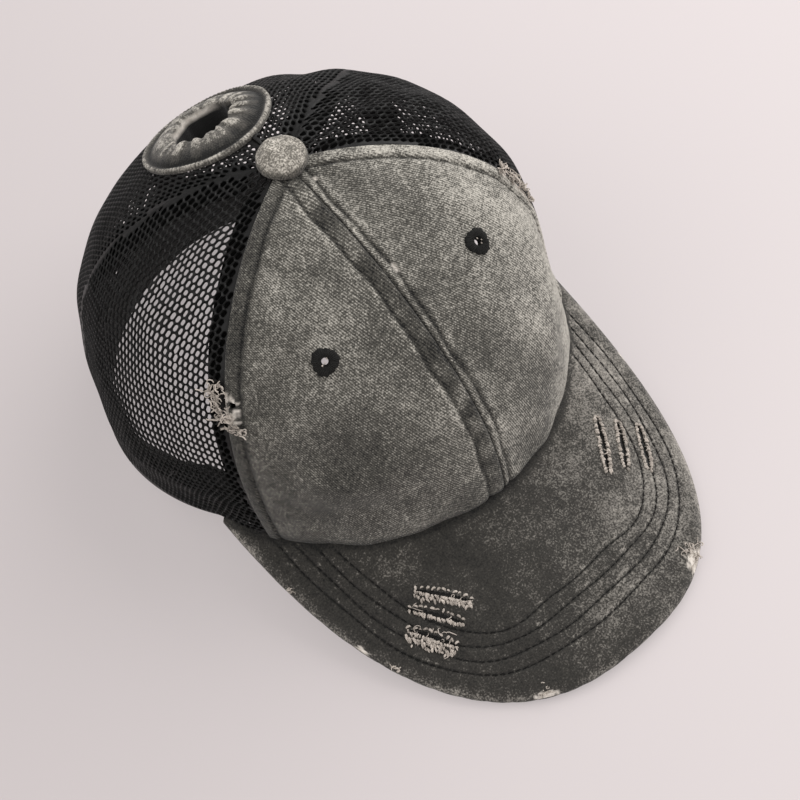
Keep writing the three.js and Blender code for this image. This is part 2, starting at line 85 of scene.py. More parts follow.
class Side(Enum):
    """The wearer's side of a piece."""

    LEFT = 1
    RIGHT = -1

    @property
    def word(self) -> str:
        """The side's word in a node's name."""
        return self.name.lower()


def smooth(value: np.ndarray) -> np.ndarray:
    """A soft step from 0 to 1."""
    held = np.clip(value, 0.0, 1.0)
    return held * held * (3.0 - 2.0 * held)


def bump(distance: np.ndarray, centre: float, width: float) -> np.ndarray:
    """A rounded ridge of height 1 at a distance."""
    return np.exp(-(((distance - centre) / width) ** 2))


@dataclass(frozen=True)
class Ripples:
    """Small unevenness of cloth, as a sum of waves with fixed phases."""

    seed: int
    size: float
    depth: float

    def at(self, across: np.ndarray, along: np.ndarray) -> np.ndarray:
        """The height over the cloth.

        Args:
            across: mm across the cloth.
            along: mm along the cloth.

        Returns:
            Height in mm, about -depth to depth.
        """
        draw = np.random.default_rng(self.seed)
        total = np.zeros(np.broadcast(across, along).shape)
        for _ in range(9):
            turn = draw.uniform(0, math.pi)
            length = self.size * draw.uniform(0.6, 1.8)
            phase = draw.uniform(0, 2 * math.pi)
            total = total + np.sin(
                2 * math.pi * (across * math.cos(turn) + along * math.sin(turn)) / length + phase)
        return total * self.depth / 4.0


@dataclass(frozen=True)
class Section:
    """The crown's section one way: exponents of its plan and lift, and its swell."""

    plan: float
    lift: float
    swell: float


@dataclass(frozen=True)
class Dent:
    """A soft dent: angle and spread in degrees, height shares, and its share of the depth."""

    angle: float
    spread: float
    height: float
    height_spread: float
    depth: float


@dataclass(frozen=True)
class CrownForm:
    """The crown and visor as formulas, the same as the solids'."""

    front_reach: float = 97.7
    side_reach: float = 84.4
    back_reach: float = 91.3
    height: float = 122.6
    front_rim_height: float = 30.4
    apex_setback: float = 3.9
    top_hole: float = 3.2
    clearance: float = 0.3
    cotton_wall: float = 1.5
    tape_wall: float = 0.9
    sweatband_wall: float = 1.4
    visor_cloth: float = 1.0
    board: float = 1.6
    side_seam_rim: float = 53.6
    side_seam_top: float = 64.3
    back_seam: float = 120.0
    row_ease: float = 1.35
    visor_reach: float = 66.2
    visor_half_width: float = 78.6
    visor_corner: float = 65.0
    corner_margin: float = 1.0
    squareness: float = 2.45
    arch_radius: float = 145.5
    hem: float = 2.4
    flat_back: float = 0.8
    rim_fall: float = 1.8
    dent_depth: float = 3.0
    front: Section = Section(1.54, 2.06, 0.008)
    side: Section = Section(2.407, 3.106, 0.043)
    back: Section = Section(2.194, 2.278, 0.021)
    dents: tuple[Dent, ...] = (
        Dent(-84, 24, 0.06, 0.13, -0.85),
        Dent(-112, 12, 0.16, 0.2, 0.45),
        Dent(-34, 14, 0.09, 0.035, 0.4),
        Dent(-30, 15, 0.17, 0.04, -0.3),
        Dent(-40, 10, 0.25, 0.045, 0.3),
        Dent(38, 13, 0.2, 0.1, -0.45),
        Dent(51, 9, 0.13, 0.13, 1.4),
        Dent(60, 12, 0.3, 0.12, 0.35),
        Dent(148, 16, 0.35, 0.18, 0.3),
    )

    def value(self, angle: np.ndarray, name: str) -> np.ndarray:
        """A section's value blended between front, side and back for an angle in radians."""
        ahead = np.cos(angle)
        side = getattr(self.side, name)
        end = np.where(ahead > 0, getattr(self.front, name), getattr(self.back, name))
        return side + (end - side) * ahead * ahead

    def rim_reach(self, angle: np.ndarray) -> np.ndarray:
        """How far the rim lies from the head's axis."""
        along = np.where(np.cos(angle) > 0, self.front_reach, self.back_reach)
        return 1.0 / np.hypot(np.cos(angle) / along, np.sin(angle) / self.side_reach)

    @property
    def visor_half(self) -> float:
        """Half the visor's full thickness."""
        return self.board / 2 + self.clearance + self.visor_cloth

    @property
    def visor_top(self) -> float:
        """Height of the visor's upper face at the middle of the rim."""
        return self.front_rim_height - self.clearance

    def arch_drop(self, x: np.ndarray) -> np.ndarray:
        """How far the visor's arch has fallen at a distance from the middle."""
        return self.arch_radius - np.sqrt(np.maximum(0.0, self.arch_radius ** 2 - x ** 2))

    def outline(self, share: np.ndarray, hem: float) -> tuple[np.ndarray, np.ndarray]:
        """The visor's outline, from its right corner at -1 to its left at 1.

        Args:
            share: place along the outline.
            hem: distance inside the edge.

        Returns:
            x and y in mm from the head's axis.
        """
        turn = share * math.pi / 2
        corner = math.radians(self.visor_corner)
        corner_y = -float(self.rim_reach(np.array(corner))) * math.cos(corner)
        power = 2.0 / self.squareness
        x = (self.visor_half_width - hem) * np.sign(turn) * np.abs(np.sin(turn)) ** power
        depth = self.front_reach + self.visor_reach + corner_y - 2 * hem
        return x, corner_y - hem - depth * np.abs(np.cos(turn)) ** power

    def slope(self) -> float:
        """The visor's slope, at which its underside meets the table."""
        x, y = self.outline(np.linspace(0, 1, 61), 0.0)
        ahead = -y - self.front_reach
        start = self.visor_top - 2 * self.visor_half
        far = ahead > 5
        return float(np.min((start - self.arch_drop(x[far])) / ahead[far]))

    def visor_mid(self, x: np.ndarray, y: np.ndarray) -> np.ndarray:
        """Height of the visor's mid surface."""
        ahead = -y - self.front_reach
        return self.visor_top - self.visor_half - self.slope() * ahead - self.arch_drop(x)

    def rim_height(self, angle: np.ndarray) -> np.ndarray:
        """The rim's height: on the visor in front, falling at the sides, flat behind.

        Args:
            angle: radians from the front.

        Returns:
            heights in mm.
        """
        corner = math.radians(self.visor_corner)
        turn = np.minimum(np.abs(angle), corner)
        reach = self.rim_reach(turn) - self.cotton_wall
        seat = self.visor_mid(reach * np.sin(turn), -reach * np.cos(turn))
        seat = seat + self.visor_half + self.clearance
        margin = math.radians(self.corner_margin)
        past = np.maximum(0.0, np.abs(angle) - corner - margin) / (math.pi - corner)
        return seat * np.maximum(0.0, 1.0 - past / self.flat_back) ** self.rim_fall

    def dent(self, angle: np.ndarray, share: np.ndarray) -> np.ndarray:
        """Depth of the soft dents in mm.

        Args:
            angle: radians from the front.
            share: share of the rise.

        Returns:
            depths in mm.
        """
        total = np.zeros(np.broadcast(angle, share).shape)
        for dent in self.dents:
            turn = (angle - math.radians(dent.angle)) / math.radians(dent.spread)
            rise = (share - dent.height) / dent.height_spread
            total = total + dent.depth * self.dent_depth * np.exp(-turn * turn - rise * rise)
        return total * smooth(share / 0.06)

    def point(self, angle: np.ndarray, share: np.ndarray, inset: np.ndarray) -> np.ndarray:
        """Points of the crown.

        Args:
            angle: radians from the front, growing towards the wearer's left.
            share: share of the quarter turn from the rim to the apex.
            inset: mm behind the outer face.

        Returns:
            An array of x, y, z in mm.
        """
        angle, share, inset = np.broadcast_arrays(angle, share, inset)
        turn = np.clip(share, 0.0, 1.0) * math.pi / 2
        swell = 1 + self.value(angle, "swell") * np.sin(math.pi * np.minimum(1.3 * share, 1.0))
        plan = np.maximum(0.0, np.cos(turn)) ** (2 / self.value(angle, "plan")) * swell
        lift = np.sin(turn) ** (2 / self.value(angle, "lift"))
        reach = (self.rim_reach(angle) - inset - self.dent(angle, share)) * plan
        rim = self.rim_height(angle)
        z = rim + (self.height - inset - rim) * lift
        y = self.apex_setback * lift - reach * np.cos(angle)
        return np.stack([reach * np.sin(angle), y, z], axis=-1)

    def share_at_radius(self, angle: np.ndarray, radius: float) -> np.ndarray:
        """The share where the crown's plan has shrunk to a radius round the apex."""
        ratio = np.minimum(1.0, radius / self.rim_reach(angle))
        return np.arccos(ratio ** (self.value(angle, "plan") / 2)) / (math.pi / 2)

    def share_at_height(self, angle: np.ndarray, height: np.ndarray) -> np.ndarray:
        """The share at a height above the rim."""
        ratio = np.clip(height / (self.height - self.rim_height(angle)), 0, 1)
        return np.arcsin(ratio ** (self.value(angle, "lift") / 2)) / (math.pi / 2)

    def side_seam(self, share: np.ndarray) -> np.ndarray:
        """Angle of a side seam at a share of the rise."""
        top = self.share_at_radius(np.array(math.radians(60)), self.top_hole)
        row = np.clip(share / top, 0, 1) ** (1 / self.row_ease)
        return np.radians(self.side_seam_rim + (self.side_seam_top - self.side_seam_rim) * row)

    def seam(self, edge: float, share: np.ndarray) -> np.ndarray:
        """Angle of the seam that leaves the rim at an edge in degrees, at a share of the rise."""
        if abs(abs(edge) - self.side_seam_rim) < 0.01:
            return math.copysign(1.0, edge) * self.side_seam(share)
        return np.full(share.shape, math.radians(edge))

    def plan_radius(self, angle: np.ndarray, share: np.ndarray) -> np.ndarray:
        """Distance from the head's axis."""
        point = self.point(angle, share, np.zeros(1))
        return np.hypot(point[..., 0], point[..., 1] - self.apex_setback)


FORM = CrownForm()


@dataclass
class Place:
    """The step from the form's millimetres to the frame's metres."""

    shift: float = 0.0

    def read(self) -> None:
        """Find the shift from the frame's own box."""
        low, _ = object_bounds()
        self.shift = low[1] / MM + FORM.front_reach + FORM.visor_reach

    def metres(self, points: np.ndarray) -> np.ndarray:
        """Points of the form in the frame."""
        return (points + np.array([0.0, self.shift, 0.0])) * MM


PLACE = Place()


@dataclass
class Patch:
    """A frame on the crown's outer face, to lay rings and threads round a centre."""

    angle: float
    share: float
    origin: np.ndarray = field(init=False)
    right: np.ndarray = field(init=False)
    up: np.ndarray = field(init=False)
    normal: np.ndarray = field(init=False)

    def __post_init__(self) -> None:
        """Work out the frame's directions."""
        step = 0.002

        def at(turn: float, rise: float) -> np.ndarray:
            """The crown's point at an angle and a share."""
            return FORM.point(np.array(turn), np.array(rise), np.array(0.0))

        self.origin = at(self.angle, self.share)
        across = at(self.angle + step, self.share) - at(self.angle - step, self.share)
        up = at(self.angle, self.share + step) - at(self.angle, self.share - step)
        normal = np.cross(across, up)
        self.normal = normal / np.linalg.norm(normal)
        self.right = across / np.linalg.norm(across)
        self.up = np.cross(self.normal, self.right)

    def under(self, a: np.ndarray, b: np.ndarray) -> tuple[np.ndarray, np.ndarray]:
        """The crown's angle and share under points of the frame.

        Args:
            a: mm to the right.
            b: mm up.

        Returns:
            Angles in radians and shares.
        """
        a, b = np.broadcast_arrays(np.asarray(a, float), np.asarray(b, float))
        angle = np.full(a.shape, self.angle)
        share = np.full(a.shape, self.share)
        step = 1e-4

        def flat(turn: np.ndarray, rise: np.ndarray) -> tuple[np.ndarray, np.ndarray]:
            """Offsets from the origin along the frame."""
            offset = FORM.point(turn, rise, np.zeros(1)) - self.origin
            return offset @ self.right, offset @ self.up

        for _ in range(12):
            x, y = flat(angle, share)
            xa, ya = flat(angle + step, share)
            xs, ys = flat(angle, share + step)
            rows = ((xa - x) / step, (xs - x) / step, (ya - y) / step, (ys - y) / step)
            size = rows[0] * rows[3] - rows[1] * rows[2]
            angle = angle + ((a - x) * rows[3] - (b - y) * rows[1]) / size
            share = share + ((b - y) * rows[0] - (a - x) * rows[2]) / size
        return angle, share

    def lay(self, a: np.ndarray, b: np.ndarray, height: np.ndarray) -> np.ndarray:
        """Points over the crown at offsets and heights in mm."""
        angle, share = self.under(a, b)
        return FORM.point(angle, share, -np.asarray(height, float))


@dataclass
class Cloth:
    """Arrays of a mesh before it becomes an object."""

    points: np.ndarray
    faces: list[tuple[int, ...]] | np.ndarray
    uv: np.ndarray | None = None
    marks: dict[str, np.ndarray] = field(default_factory=dict)

    def build(self, name: str, material: bpy.types.Material, sharp: float = 50.0) -> bpy.types.Object:
        """Make the object.

        Args:
            name: the piece's name.
            material: its finish.
            sharp: degrees past which an edge stays crisp.

        Returns:
            The new object, linked to the scene.
        """
        mesh = bpy.data.meshes.new(name)
        faces = self.faces if isinstance(self.faces, list) else self.faces.tolist()
        mesh.from_pydata(PLACE.metres(self.points).tolist(), [], faces)
        mesh.update()
        if self.uv is not None:
            layer = mesh.uv_layers.new(name="Weave")
            index = np.empty(len(mesh.loops), dtype=np.int32)
            mesh.loops.foreach_get("vertex_index", index)
            layer.data.foreach_set("uv", self.uv[index].astype(np.float32).ravel())
        for word, values in self.marks.items():
            layer = mesh.attributes.new(word, "FLOAT", "POINT")
            layer.data.foreach_set("value", np.asarray(values, dtype=np.float32).ravel())
        mesh.materials.append(material)
        piece = bpy.data.objects.new(name, mesh)
        bpy.context.scene.collection.objects.link(piece)
        bpy.ops.object.select_all(action="DESELECT")
        piece.select_set(True)
        bpy.context.view_layer.objects.active = piece
        bpy.ops.object.shade_smooth_by_angle(angle=math.radians(sharp))
        return piece


def wall(outer: np.ndarray, loops: bool = False, keep: np.ndarray | None = None) -> np.ndarray:
    """Faces of a closed wall between an outer and an inner grid of points.

    Args:
        outer: the outer face's points, rows by columns by 3.
        loops: whether the columns close on themselves.
        keep: which cells are cloth, where some are cut away.

    Returns:
        Quads, for the outer points followed by the inner ones.
    """
    rows, columns = outer.shape[:2]
    ids = np.arange(rows * columns).reshape(rows, columns)
    nxt = np.roll(ids, -1, axis=1) if loops else ids[:, 1:]
    now = ids if loops else ids[:, :-1]
    quads = np.stack([now[:-1], nxt[:-1], nxt[1:], now[1:]], -1).reshape(-1, 4)
    if keep is not None:
        quads = quads[keep.ravel()]
    return close_wall(quads, rows * columns)


def close_wall(quads: np.ndarray, step: int) -> np.ndarray:
    """Give an outer face its inner face and the edges between them.

    Args:
        quads: the outer face's quads.
        step: points in one face.

    Returns:
        all faces of the closed wall.
    """
    edges = np.concatenate([quads[:, [turn, (turn + 1) % 4]] for turn in range(4)])
    there = edges[:, 0].astype(np.int64) * step + edges[:, 1]
    back = edges[:, 1].astype(np.int64) * step + edges[:, 0]
    rim = edges[~np.isin(back, there)]
    side = np.stack([rim[:, 1], rim[:, 0], rim[:, 0] + step, rim[:, 1] + step], -1)
    return np.concatenate([quads, quads[:, ::-1] + step, side])


def shell(outer: np.ndarray, inner: np.ndarray, uv: np.ndarray,
          marks: dict[str, np.ndarray] | None = None, loops: bool = False,
          keep: np.ndarray | None = None) -> Cloth:
    """A cloth wall between two grids of points.

    Args:
        outer: outer face, rows by columns by 3.
        inner: inner face.
        uv: weave coordinates in metres, rows by columns by 2.
        marks: values over the outer face, by name.
        loops: whether the columns close.
        keep: which cells are cloth.

    Returns:
        The cloth's arrays.
    """
    points = np.concatenate([outer.reshape(-1, 3), inner.reshape(-1, 3)])
    flat = np.concatenate([uv.reshape(-1, 2)] * 2)
    faces = wall(outer, loops, keep)
    used, slim = np.unique(faces, return_inverse=True)
    marks = {word: np.tile(value.ravel(), 2)[used] for word, value in (marks or {}).items()}
    return Cloth(points[used], slim.reshape(faces.shape), flat[used], marks)


def tube(path: np.ndarray, radius: np.ndarray | float, sides: int = 6) -> tuple[np.ndarray, list]:
    """A closed thread along a path.

    Args:
        path: points in mm.
        radius: one radius, or one for each point.
        sides: faces round it.

    Returns:
        Points and faces.
    """
    count = len(path)
    radius = np.broadcast_to(np.asarray(radius, float), (count,))
    ahead = np.gradient(path, axis=0)
    ahead = ahead / np.maximum(np.linalg.norm(ahead, axis=1, keepdims=True), 1e-9)
    guide = np.array([0.31, 0.17, 0.93])
    across = np.cross(ahead, guide)
    across = across / np.maximum(np.linalg.norm(across, axis=1, keepdims=True), 1e-9)
    other = np.cross(ahead, across)
    turn = np.arange(sides) * 2 * math.pi / sides
    ring = across[:, None] * np.cos(turn)[None, :, None] + other[:, None] * np.sin(turn)[None, :, None]
    points = (path[:, None] + ring * radius[:, None, None]).reshape(-1, 3)
    faces = []
    for row in range(count - 1):
        for column in range(sides):
            a = row * sides + column
            b = row * sides + (column + 1) % sides
            faces.append((a, b, b + sides, a + sides))
    faces.append(tuple(range(sides - 1, -1, -1)))
    faces.append(tuple((count - 1) * sides + column for column in range(sides)))
    return points, faces


@dataclass
class Bundle:
    """Threads and stitches gathered into one mesh."""

    points: list[np.ndarray] = field(default_factory=list)
    faces: list[tuple[int, ...]] = field(default_factory=list)
    tones: list[np.ndarray] = field(default_factory=list)
    count: int = 0

    def put(self, points: np.ndarray, faces: list, tone: float = 0.5) -> None:
        """Add one closed shape with its own tone."""
        self.points.append(points)
        self.faces.extend(tuple(index + self.count for index in face) for face in faces)
        self.tones.append(np.full(len(points), tone))
        self.count += len(points)

    def thread(self, path: np.ndarray, radius: float, tone: float = 0.5, sides: int = 6) -> None:
        """Add a thread that thins at its ends."""
        share = np.linspace(0, 1, len(path))
        taper = radius * (0.45 + 0.55 * np.sin(math.pi * np.clip(share * 1.1 - 0.05, 0.06, 0.94)) ** 0.4)
        points, faces = tube(np.asarray(path, float), taper, sides)
        self.put(points, faces, tone)

    def stitch(self, start: np.ndarray, end: np.ndarray, lift: np.ndarray, radius: float,
               rise: float, tone: float = 0.5) -> None:
        """Add a stitch that rises from the cloth and dips back into it.

        Args:
            start: where the thread comes up, in mm.
            end: where it goes down.
            lift: the cloth's outward direction.
            radius: the thread's radius in mm.
            rise: how far its middle stands up.
            tone: its shade, 0 to 1.
        """
        share = np.array([0.0, 0.2, 0.5, 0.8, 1.0])
        height = np.array([-0.7, 0.6, 1.0, 0.6, -0.7])
        path = start + (end - start) * share[:, None] + np.asarray(lift) * (height * rise)[:, None]
        points, faces = tube(path, radius * np.array([0.6, 0.95, 1.0, 0.95, 0.6]), 6)
        self.put(points, faces, tone)

    def cloth(self) -> Cloth:
        """The bundle as one mesh's arrays."""
        points = np.concatenate(self.points)
        return Cloth(points, self.faces, points[:, :2] * MM, {"tone": np.concatenate(self.tones)})


class Wiring:
    """Adds nodes to one tree and joins them."""

    def __init__(self, tree: bpy.types.NodeTree) -> None:
        """Work in one tree."""
        self.tree = tree

    def feed(self, socket: bpy.types.NodeSocket, value: object) -> None:
        """Link a socket, or set its value."""
        if isinstance(value, bpy.types.NodeSocket):
            self.tree.links.new(value, socket)
        else:
            socket.default_value = value

    def node(self, kind: str, settings: dict | None = None, inputs: dict | None = None) -> bpy.types.Node:
        """Add a node.

        Args:
            kind: the node's type.
            settings: its properties by name.
            inputs: its sockets by name or number.

        Returns:
            The node.
        """
        made = self.tree.nodes.new(kind)
        for word, value in (settings or {}).items():
            setattr(made, word, value)
        for word, value in (inputs or {}).items():
            self.feed(made.inputs[word], value)
        return made

    def math(self, operation: str, first: object, second: object = 0.0,
             clamp: bool = False) -> bpy.types.NodeSocket:
        """One step of arithmetic."""
        made = self.node("ShaderNodeMath", {"operation": operation, "use_clamp": clamp},
                         {0: first, 1: second})
        return made.outputs[0]

    def wave(self, turns: object) -> bpy.types.NodeSocket:
        """A sine wave from 0 to 1, over whole turns."""
        sine = self.math("SINE", self.math("MULTIPLY", turns, 2 * math.pi))
        return self.math("ADD", self.math("MULTIPLY", sine, 0.5), 0.5)

    def noise(self, place: object, scale: float, detail: float = 2.0,
              rough: float = 0.5) -> bpy.types.NodeSocket:
        """Soft noise over a place."""
        made = self.node("ShaderNodeTexNoise", {},
                         {"Vector": place, "Scale": scale, "Detail": detail, "Roughness": rough})
        return made.outputs[0]

    def span(self, value: object, low: float, high: float) -> bpy.types.NodeSocket:
        """Stretch a value's range to 0 to 1."""
        made = self.node("ShaderNodeMapRange", {"clamp": True},
                         {"Value": value, "From Min": low, "From Max": high})
        return made.outputs[0]

    def sum(self, *terms: tuple[object, float]) -> bpy.types.NodeSocket:
        """Add values, each times its weight."""
        total = None
        for value, weight in terms:
            part = self.math("MULTIPLY", value, weight)
            total = part if total is None else self.math("ADD", total, part)
        return total

    def ramp(self, value: object,
             stops: tuple[tuple[float, tuple[float, ...]], ...]) -> bpy.types.NodeSocket:
        """A colour from a value.

        Args:
            value: the factor.
            stops: places and colours.

        Returns:
            the colour socket.
        """
        made = self.node("ShaderNodeValToRGB", {}, {0: value})
        band = made.color_ramp
        while len(band.elements) < len(stops):
            band.elements.new(0.5)
        for element, (place, colour) in zip(band.elements, stops):
            element.position = place
            element.color = colour
        return made.outputs[0]

    def mark(self, word: str) -> bpy.types.NodeSocket:
        """A value kept on the mesh's points."""
        return self.node("ShaderNodeAttribute", {"attribute_name": word}).outputs["Fac"]


def paint(red: int, green: int, blue: int) -> tuple[float, float, float, float]:
    """An 8-bit screen colour as linear light.

    Args:
        red: 0 to 255.
        green: 0 to 255.
        blue: 0 to 255.

    Returns:
        linear red, green, blue and 1.
    """
    def open_up(level: int) -> float:
        """One channel."""
        share = level / 255
        return share / 12.92 if share <= 0.04045 else ((share + 0.055) / 1.055) ** 2.4

    return open_up(red), open_up(green), open_up(blue), 1.0


class Weave(Enum):
    """Shader groups that more than one finish uses."""

    TWILL = "Twill ribs"
    WASH = "Wash mottling"
    GRAIN = "Yarn grain"

    def tree(self) -> bpy.types.NodeTree:
        """The group's tree, built the first time that it is wanted.

        Returns:
            the group's tree.
        """
        made = bpy.data.node_groups.get(self.value)
        if made is None:
            made = bpy.data.node_groups.new(self.value, "ShaderNodeTree")
            builders = {Weave.TWILL: twill_group, Weave.WASH: wash_group, Weave.GRAIN: grain_group}
            builders[self](made)
        return made

    def place(self, wiring: Wiring, inputs: dict) -> bpy.types.Node:
        """Put the group in a material with its own values."""
        made = wiring.node("ShaderNodeGroup", {"node_tree": self.tree()})
        for word, value in inputs.items():
            wiring.feed(made.inputs[word], value)
        return made


def sockets(tree: bpy.types.NodeTree, inward: tuple[str, ...],
            outward: tuple[str, ...]) -> tuple[bpy.types.Node, bpy.types.Node]:
    """Give a group its sockets; the first inward one is a vector.

    Args:
        tree: the group.
        inward: names of its inputs.
        outward: names of its outputs.

    Returns:
        Its input and output nodes.
    """
    for number, word in enumerate(inward):
        kind = "NodeSocketVector" if number == 0 else "NodeSocketFloat"
        tree.interface.new_socket(name=word, in_out="INPUT", socket_type=kind)
    for word in outward:
        tree.interface.new_socket(name=word, in_out="OUTPUT", socket_type="NodeSocketFloat")
    return tree.nodes.new("NodeGroupInput"), tree.nodes.new("NodeGroupOutput")


def twill_group(tree: bpy.types.NodeTree) -> None:
    """Slanting ribs of twill, broken into yarns.

    Args:
        tree: the group's empty tree.
    """
    source, sink = sockets(tree, ("Place", "Pitch", "Turn", "Waver"), ("Ribs",))
    wiring = Wiring(tree)
    turned = wiring.node("ShaderNodeVectorRotate", {"rotation_type": "Z_AXIS"},
                         {"Vector": source.outputs["Place"], "Angle": source.outputs["Turn"]})
    parts = wiring.node("ShaderNodeSeparateXYZ", {}, {0: turned.outputs[0]})
    waver = wiring.math("MULTIPLY", wiring.noise(source.outputs["Place"], 380.0, 3.0),
                        source.outputs["Waver"])
    across = wiring.math("DIVIDE", parts.outputs[0], source.outputs["Pitch"])
    across = wiring.math("ADD", across, waver)
    along = wiring.math("DIVIDE", parts.outputs[1], source.outputs["Pitch"])
    rib = wiring.wave(across)
    yarn = wiring.wave(wiring.sum((along, 0.9), (across, 0.5)))
    mixed = wiring.math("MULTIPLY", rib, wiring.sum((yarn, 0.55), (rib, 0.45)))
    wiring.feed(sink.inputs["Ribs"], mixed)


def wash_group(tree: bpy.types.NodeTree) -> None:
    """Uneven fading of washed cloth: clouds, flecks and fine specks.

    Args:
        tree: the group's empty tree.
    """
    source, sink = sockets(tree, ("Place", "Size"), ("Cloud", "Fleck", "Speck"))
    wiring = Wiring(tree)
    sized = wiring.node("ShaderNodeVectorMath", {"operation": "SCALE"},
                        {0: source.outputs["Place"], "Scale": source.outputs["Size"]}).outputs[0]
    cloud = wiring.span(wiring.noise(source.outputs["Place"], 30.0, 5.0, 0.6), 0.28, 0.72)
    fleck = wiring.span(wiring.noise(sized, 210.0, 4.0, 0.62), 0.3, 0.7)
    speck = wiring.span(wiring.noise(sized, 900.0, 2.0, 0.6), 0.3, 0.7)
    wiring.feed(sink.inputs["Cloud"], cloud)
    wiring.feed(sink.inputs["Fleck"], fleck)
    wiring.feed(sink.inputs["Speck"], speck)


def grain_group(tree: bpy.types.NodeTree) -> None:
    """Fine crosswise ribs of tape and yarn.

    Args:
        tree: the group's empty tree.
    """
    source, sink = sockets(tree, ("Place", "Pitch"), ("Ribs",))
    wiring = Wiring(tree)
    parts = wiring.node("ShaderNodeSeparateXYZ", {}, {0: source.outputs["Place"]})
    along = wiring.math("DIVIDE", parts.outputs[1], source.outputs["Pitch"])
    across = wiring.math("DIVIDE", parts.outputs[0], source.outputs["Pitch"])
    first = wiring.math("SINE", wiring.math("MULTIPLY", along, 2 * math.pi))
    second = wiring.math("SINE", wiring.math("MULTIPLY", across, 2 * math.pi))
    ribs = wiring.math("ADD", wiring.sum((first, 0.35), (wiring.math("MULTIPLY", first, second), 0.15)), 0.5)
    wiring.feed(sink.inputs["Ribs"], ribs)


def fresh(name: str) -> tuple[bpy.types.Material, Wiring, bpy.types.Node]:
    """A material with its tree, and its surface shader."""
    material = bpy.data.materials.new(name)
    material.use_nodes = True
    shader = material.node_tree.nodes["Principled BSDF"]
    return material, Wiring(material.node_tree), shader


@dataclass(frozen=True)
class CottonFinish:
    """Washed cotton: three shades, its weave in mm and degrees, and the weight of each mark."""

    name: str
    dark: tuple[int, int, int]
    mid: tuple[int, int, int]
    light: tuple[int, int, int]
    pitch: float = 0.9
    turn: float = 22.0
    level: float = 0.5
    cloud: float = 0.3
    fleck: float = 0.2
    speck: float = 0.16
    weave: float = 0.24
    depth: float = 0.22
    size: float = 1.0

    def material(self) -> bpy.types.Material:
        """The cloth's material.

        Returns:
            the material.
        """
        material, wiring, shader = fresh(self.name)
        weave = wiring.node("ShaderNodeUVMap", {"uv_map": "Weave"}).outputs[0]
        place = wiring.node("ShaderNodeTexCoord").outputs["Object"]
        twill = Weave.TWILL.place(wiring, {"Place": weave, "Pitch": self.pitch * MM,
                                           "Turn": math.radians(self.turn), "Waver": 0.7})
        wash = Weave.WASH.place(wiring, {"Place": place, "Size": self.size})
        # The lightening mark carries rubbed, worn cloth, and also painted light where a piece paints it on
        # lit sides and ridges.
        wear = wiring.mark("wear")
        rubbed = wiring.math("MULTIPLY", wear, wiring.sum((wash.outputs["Fleck"], 0.7),
                                                          (wash.outputs["Speck"], 0.5)))
        drop = self.level - (self.cloud + self.fleck + self.speck) / 2 - self.weave * 0.32
        # The darkening mark carries deeply dyed seams, and also painted shade; where it is negative it is
        # painted light.
        tone = wiring.sum((wash.outputs["Cloud"], self.cloud), (wash.outputs["Fleck"], self.fleck),
                          (wash.outputs["Speck"], self.speck), (twill.outputs["Ribs"], self.weave),
                          (rubbed, 0.5), (wiring.mark("dye"), -0.4))
        tone = wiring.math("ADD", tone, drop, clamp=True)
        colour = wiring.ramp(tone, ((0.0, paint(*self.dark)), (0.5, paint(*self.mid)),
                                    (1.0, paint(*self.light))))
        # The bare mark mixes in pale cotton: real bare spots, and on the ring a painted light band on the
        # hole's far wall.
        bare = wiring.node("ShaderNodeMix", {"data_type": "RGBA"})
        shade = wiring.ramp(wash.outputs["Fleck"], ((0.1, paint(186, 179, 169)), (0.9, paint(232, 225, 216))))
        wiring.feed(bare.inputs[0], wiring.mark("bare"))
        wiring.feed(bare.inputs[6], colour)
        wiring.feed(bare.inputs[7], shade)
        colour = bare.outputs[2]
        wiring.feed(shader.inputs["Base Color"], colour)
        shader.inputs["Roughness"].default_value = 0.95
        shader.inputs["Specular IOR Level"].default_value = 0.25
        shader.inputs["Sheen Weight"].default_value = 0.12
        shader.inputs["Sheen Roughness"].default_value = 0.6
        height = wiring.sum((twill.outputs["Ribs"], 3.0 * self.weave), (wash.outputs["Speck"], 0.6),
                            (wash.outputs["Fleck"], 0.5))
        relief = wiring.node("ShaderNodeBump", {}, {"Strength": 0.8, "Distance": self.depth * MM,
                                                    "Height": height})
        wiring.feed(shader.inputs["Normal"], relief.outputs[0])
        return material


@dataclass(frozen=True)
class YarnFinish:
    """Thread, tape, net or board: two shades, its ribs in mm and its gloss."""

    name: str
    dark: tuple[int, int, int]
    light: tuple[int, int, int]
    pitch: float = 0.5
    rough: float = 0.75
    specular: float = 0.4
    tone: float = 0.0
    depth: float = 0.08

    def material(self) -> bpy.types.Material:
        """The yarn's material.

        Returns:
            the material.
        """
        material, wiring, shader = fresh(self.name)
        place = wiring.node("ShaderNodeTexCoord").outputs["Object"]
        grain = Weave.GRAIN.place(wiring, {"Place": place, "Pitch": self.pitch * MM})
        wash = Weave.WASH.place(wiring, {"Place": place, "Size": 1.6})
        terms = [(grain.outputs["Ribs"], 0.3), (wash.outputs["Fleck"], 0.35),
                 (wash.outputs["Speck"], 0.35)]
        if self.tone:
            terms.append((wiring.mark("tone"), self.tone))
        shade = wiring.math("ADD", wiring.sum(*terms), -self.tone / 2, clamp=True)
        colour = wiring.ramp(shade, ((0.05, paint(*self.dark)), (0.95, paint(*self.light))))
        wiring.feed(shader.inputs["Base Color"], colour)
        shader.inputs["Roughness"].default_value = self.rough
        shader.inputs["Specular IOR Level"].default_value = self.specular
        height = wiring.sum((grain.outputs["Ribs"], 0.7), (wash.outputs["Speck"], 0.5))
        relief = wiring.node("ShaderNodeBump", {}, {"Strength": 0.7, "Distance": self.depth * MM,
                                                    "Height": height})
        wiring.feed(shader.inputs["Normal"], relief.outputs[0])
        return material


